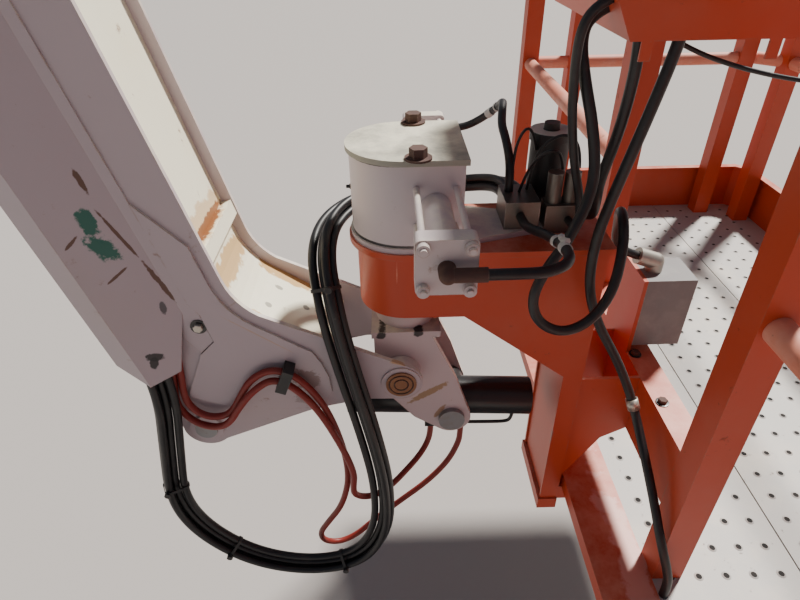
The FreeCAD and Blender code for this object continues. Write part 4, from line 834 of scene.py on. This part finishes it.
def clipDeckCable():
    place, way = along(cordLines["deckCable"], cableClip["share"])
    shape = bmesh.new()
    bandRing(shape, [place], way, platformCords["deckCable"][1], cableClip["thickness"], cableClip["width"])
    showPiece("deckCableClip", shape, "zinc_fitting", "platform", True)


# Bolt heads, washers and grease nipples: place, the way they point, washer and head radius, head height

washerThickness = 0.0018
fasteners = {
    "guardBolt": ("boom", "zinc_fitting", (0.4086, -0.0972, -1.5211), (0, -1, 0), 0.013, 0.0082, 0.006),
    "drumNipple": ("platform", "black_plastic", (0.6541, -0.006, -1.3325), (-1, 0, 0), 0.004, 0.0028, 0.005),
    "clipBolt": ("platform", "rusty_steel", (1.1616, -0.134, -1.6799), (0, 0, 1), 0.011, 0.008, 0.006),
    "bracketBoltNear": ("platform", "rusty_steel", (1.1616, -0.008, -1.6799), (0, 0, 1), 0.011, 0.008, 0.006),
}


def fitFasteners():
    for name, (body, slot, place, way, washer, head, height) in fasteners.items():
        shape = bmesh.new()
        turned(shape, place, way, ((0, washer), (washerThickness - 0.0002, washer),
                                   (washerThickness, washer * 0.8)))
        showPiece(name + "Washer", shape, "black_paint", body)
        shape = bmesh.new()
        start = Vector(place) + Vector(way) * washerThickness
        turned(shape, start, way, ((0, head), (height * 0.8, head), (height, head * 0.85)), 6)
        showPiece(name, shape, slot, body)


# Rings turned in the face of the main pin, and the pale lid on the filter canister

pinFace = {"place": (0.72364, -0.1, -1.65492), "rings": ((0.0215, 0.019), (0.013, 0.0105)), "height": 0.0016}
canisterLid = {"place": (0.96764, 0.06, -1.27492), "radius": 0.0325, "hole": 0.013, "thickness": 0.001,
               "lift": 0.0002}


def facePinAndLid():
    shape = bmesh.new()
    height = pinFace["height"]
    for outer, inner in pinFace["rings"]:
        middle = (outer + inner) / 2
        turnedRing(shape, pinFace["place"], (0, -1, 0), ((0, inner), (height, middle - 0.0004),
                                                        (height, middle + 0.0004), (0, outer)))
    showPiece("mainPinRings", shape, "rusty_steel", "boom", True)
    shape = bmesh.new()
    top, under, hole, rim = (canisterLid[key] for key in ("thickness", "lift", "hole", "radius"))
    turnedRing(shape, canisterLid["place"], (0, 0, 1), ((under, hole), (top, hole), (top, rim), (under, rim)))
    showPiece("canisterLid", shape, "box_grey", "platform", look="lidGrey")


# Punched holes with raised lips on the deck planks, laid out in Geometry Nodes; a near-black disc closes each
# hole, painted shade where one would see through

deckHoles = {"step": 0.052, "margin": 0.034, "radius": 0.0052, "lipRadius": 0.0082, "lipHeight": 0.0013,
             "halfLength": 1.122, "height": -1.9489,
             "planks": ((1.1476, 1.4076), (1.4106, 1.7186), (1.7216, 1.9886))}


def punchTree():
    tree, source, sink = startGroup("punchedHoles", "GeometryNodeTree", {
        "Width": 0.2, "Length": 2.0, "Columns": 5, "Rows": 40, "Place": (0, 0, 0), "Hole Radius": 0.005,
        "Lip Radius": 0.008, "Lip Height": 0.001, "Lip Look": None, "Hole Shade Look": None},
        {"Geometry": "Geometry"})
    grid = put(tree, "GeometryNodeMeshGrid", (-600, 200))
    lip = put(tree, "GeometryNodeMeshCone", (-600, -100), {"Vertices": 12}, fill_type="NONE")
    # The disc over each hole is painted shade
    disc = put(tree, "GeometryNodeMeshCircle", (-600, -400), {"Vertices": 12}, fill_type="NGON")
    lift = put(tree, "ShaderNodeCombineXYZ", (-600, -600))
    raised = put(tree, "GeometryNodeTransform", (-350, -400))
    lipLook = put(tree, "GeometryNodeSetMaterial", (-350, -100))
    holeShadeLook = put(tree, "GeometryNodeSetMaterial", (-100, -400))
    both = put(tree, "GeometryNodeJoinGeometry", (100, -200))
    spread = put(tree, "GeometryNodeInstanceOnPoints", (300, 100))
    moved = put(tree, "GeometryNodeTransform", (500, 100))
    real = put(tree, "GeometryNodeRealizeInstances", (700, 100))
    wire(tree, (source, "Width", grid, "Size X"), (source, "Length", grid, "Size Y"),
         (source, "Columns", grid, "Vertices X"), (source, "Rows", grid, "Vertices Y"),
         (source, "Hole Radius", lip, "Radius Top"), (source, "Lip Radius", lip, "Radius Bottom"),
         (source, "Lip Height", lip, "Depth"), (source, "Hole Radius", disc, "Radius"),
         (source, "Lip Height", lift, "Z"), (disc, "Mesh", raised, "Geometry"),
         (lift, "Vector", raised, "Translation"), (lip, "Mesh", lipLook, "Geometry"),
         (source, "Lip Look", lipLook, "Material"), (raised, "Geometry", holeShadeLook, "Geometry"),
         (source, "Hole Shade Look", holeShadeLook, "Material"), (lipLook, "Geometry", both, "Geometry"),
         (holeShadeLook, "Geometry", both, "Geometry"), (grid, "Mesh", spread, "Points"),
         (both, "Geometry", spread, "Instance"), (spread, "Instances", moved, "Geometry"),
         (source, "Place", moved, "Translation"), (moved, "Geometry", real, "Geometry"),
         (real, "Geometry", sink, "Geometry"))
    return tree


def grown(tree, values):
    # A plain mesh from a tree with these inputs
    seed = placed("seed", bpy.data.meshes.new("seed"))
    modifier = seed.modifiers.new("grow", "NODES")
    modifier.node_group = tree
    for item in tree.interface.items_tree:
        if item.in_out == "INPUT" and item.name in values:
            modifier[item.identifier] = values[item.name]
    graph = bpy.context.evaluated_depsgraph_get()
    mesh = bpy.data.meshes.new_from_object(seed.evaluated_get(graph))
    bpy.data.objects.remove(seed)
    return mesh


def punchDeck():
    tree = punchTree()
    shape = bmesh.new()
    step, margin = deckHoles["step"], deckHoles["margin"]
    length = 2 * deckHoles["halfLength"]
    for start, end in deckHoles["planks"]:
        width = end - start - 2 * margin
        mesh = grown(tree, {"Width": width, "Length": length, "Columns": round(width / step) + 1,
                            "Rows": round(length / step) + 1,
                            "Place": ((start + end) / 2, 0.0, deckHoles["height"]),
                            "Hole Radius": deckHoles["radius"], "Lip Radius": deckHoles["lipRadius"],
                            "Lip Height": deckHoles["lipHeight"], "Lip Look": materials["deckZinc"],
                            "Hole Shade Look": materials["holeShadeDisc"]})
        faceLooks = [look or materials["deckZinc"] for look in mesh.materials]
        shape.from_mesh(mesh)
        bpy.data.meshes.remove(mesh)
    bmesh.ops.remove_doubles(shape, verts=shape.verts, dist=0.00001)
    bmesh.ops.recalc_face_normals(shape, faces=shape.faces)
    whole = bpy.data.meshes.new("deckHoles")
    shape.to_mesh(whole)
    shape.free()
    for look in faceLooks:
        whole.materials.append(look)
    for face in whole.polygons:
        face.use_smooth = False
    holes = placed("deckHoles", whole)
    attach(holes, "platform")


# Pipe and valve block under the levelling cylinder

cylinderPipe = {"radius": 0.0035,
                "route": [(0.8476, -0.02, -1.829), (0.853, -0.02, -1.833), (0.87, -0.02, -1.8335),
                          (0.905, -0.02, -1.8345), (0.93, -0.02, -1.8345), (0.9405, -0.02, -1.828),
                          (0.942, -0.02, -1.81)],
                "block": ((0.769, -0.036), (0.848, -0.036), (0.848, -0.004), (0.769, -0.004)),
                "blockHeights": (-1.8255, -1.813)}


def fitCylinderPipe():
    line = smoothLine("cylinderPipe", cylinderPipe["route"], cylinderPipe["radius"])
    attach(newPiece("cylinderPipe", plainMesh("cylinderPipe", line), "black_paint", True), "level_barrel")
    shape = bmesh.new()
    loft(shape, [[(x, y, z) for x, y in cylinderPipe["block"]] for z in cylinderPipe["blockHeights"]])
    showPiece("cylinderPortBlock", shape, "black_paint", "level_barrel")


# Further cables round the console and the valves: radius and route of each

looseCables = {
    "railCable": (0.0035, [(1.056, 0.06, -0.931), (1.056, 0.062, -1.03), (1.064, 0.068, -1.095),
        (1.096, 0.07, -1.13), (1.1536, 0.06, -1.163), (1.2356, 0.056, -1.19), (1.3316, 0.05, -1.209),
        (1.4316, 0.03, -1.215), (1.6, 0.015, -1.22), (1.78, 0.005, -1.19), (1.9, 0.0, -1.135),
        (1.9575, 0.0, -1.12)]),
    "loomCable": (0.0075, [(1.006, -0.1, -1.085), (1.0125, -0.1, -1.124), (1.0145, -0.096, -1.1764),
        (1.0122, -0.09, -1.2347), (1.0059, -0.075, -1.3029), (1.012, -0.06, -1.345), (1.019, -0.04, -1.374),
        (1.017, -0.016, -1.385), (1.0025, -0.012, -1.386)]),
    "coilWireNear": (0.0022, [(0.971, -0.013, -1.31), (0.965, -0.02, -1.285), (0.948, -0.026, -1.275),
        (0.93, -0.018, -1.29), (0.92, -0.002, -1.32), (0.915, 0.01, -1.356)]),
    "coilWireFar": (0.0022, [(0.996, -0.013, -1.31), (0.996, -0.005, -1.28), (0.978, 0.008, -1.264),
        (0.952, 0.012, -1.274), (0.933, 0.016, -1.305), (0.929, 0.02, -1.356)]),
    "canisterWire": (0.0022, [(0.942, 0.042, -1.3), (0.934, 0.035, -1.27), (0.92, 0.03, -1.26),
        (0.908, 0.03, -1.285), (0.906, 0.032, -1.325), (0.906, 0.032, -1.356)]),
}


tieBundle()
tapeHoses()
clipDeckCable()
fitFasteners()
facePinAndLid()
punchDeck()
fitCylinderPipe()
for cableName, (cableRadius, cableRoute) in looseCables.items():
    layHose(cableName, cableRoute, cableRadius, None, "hose_black", "platform")
print("small pieces fitted")
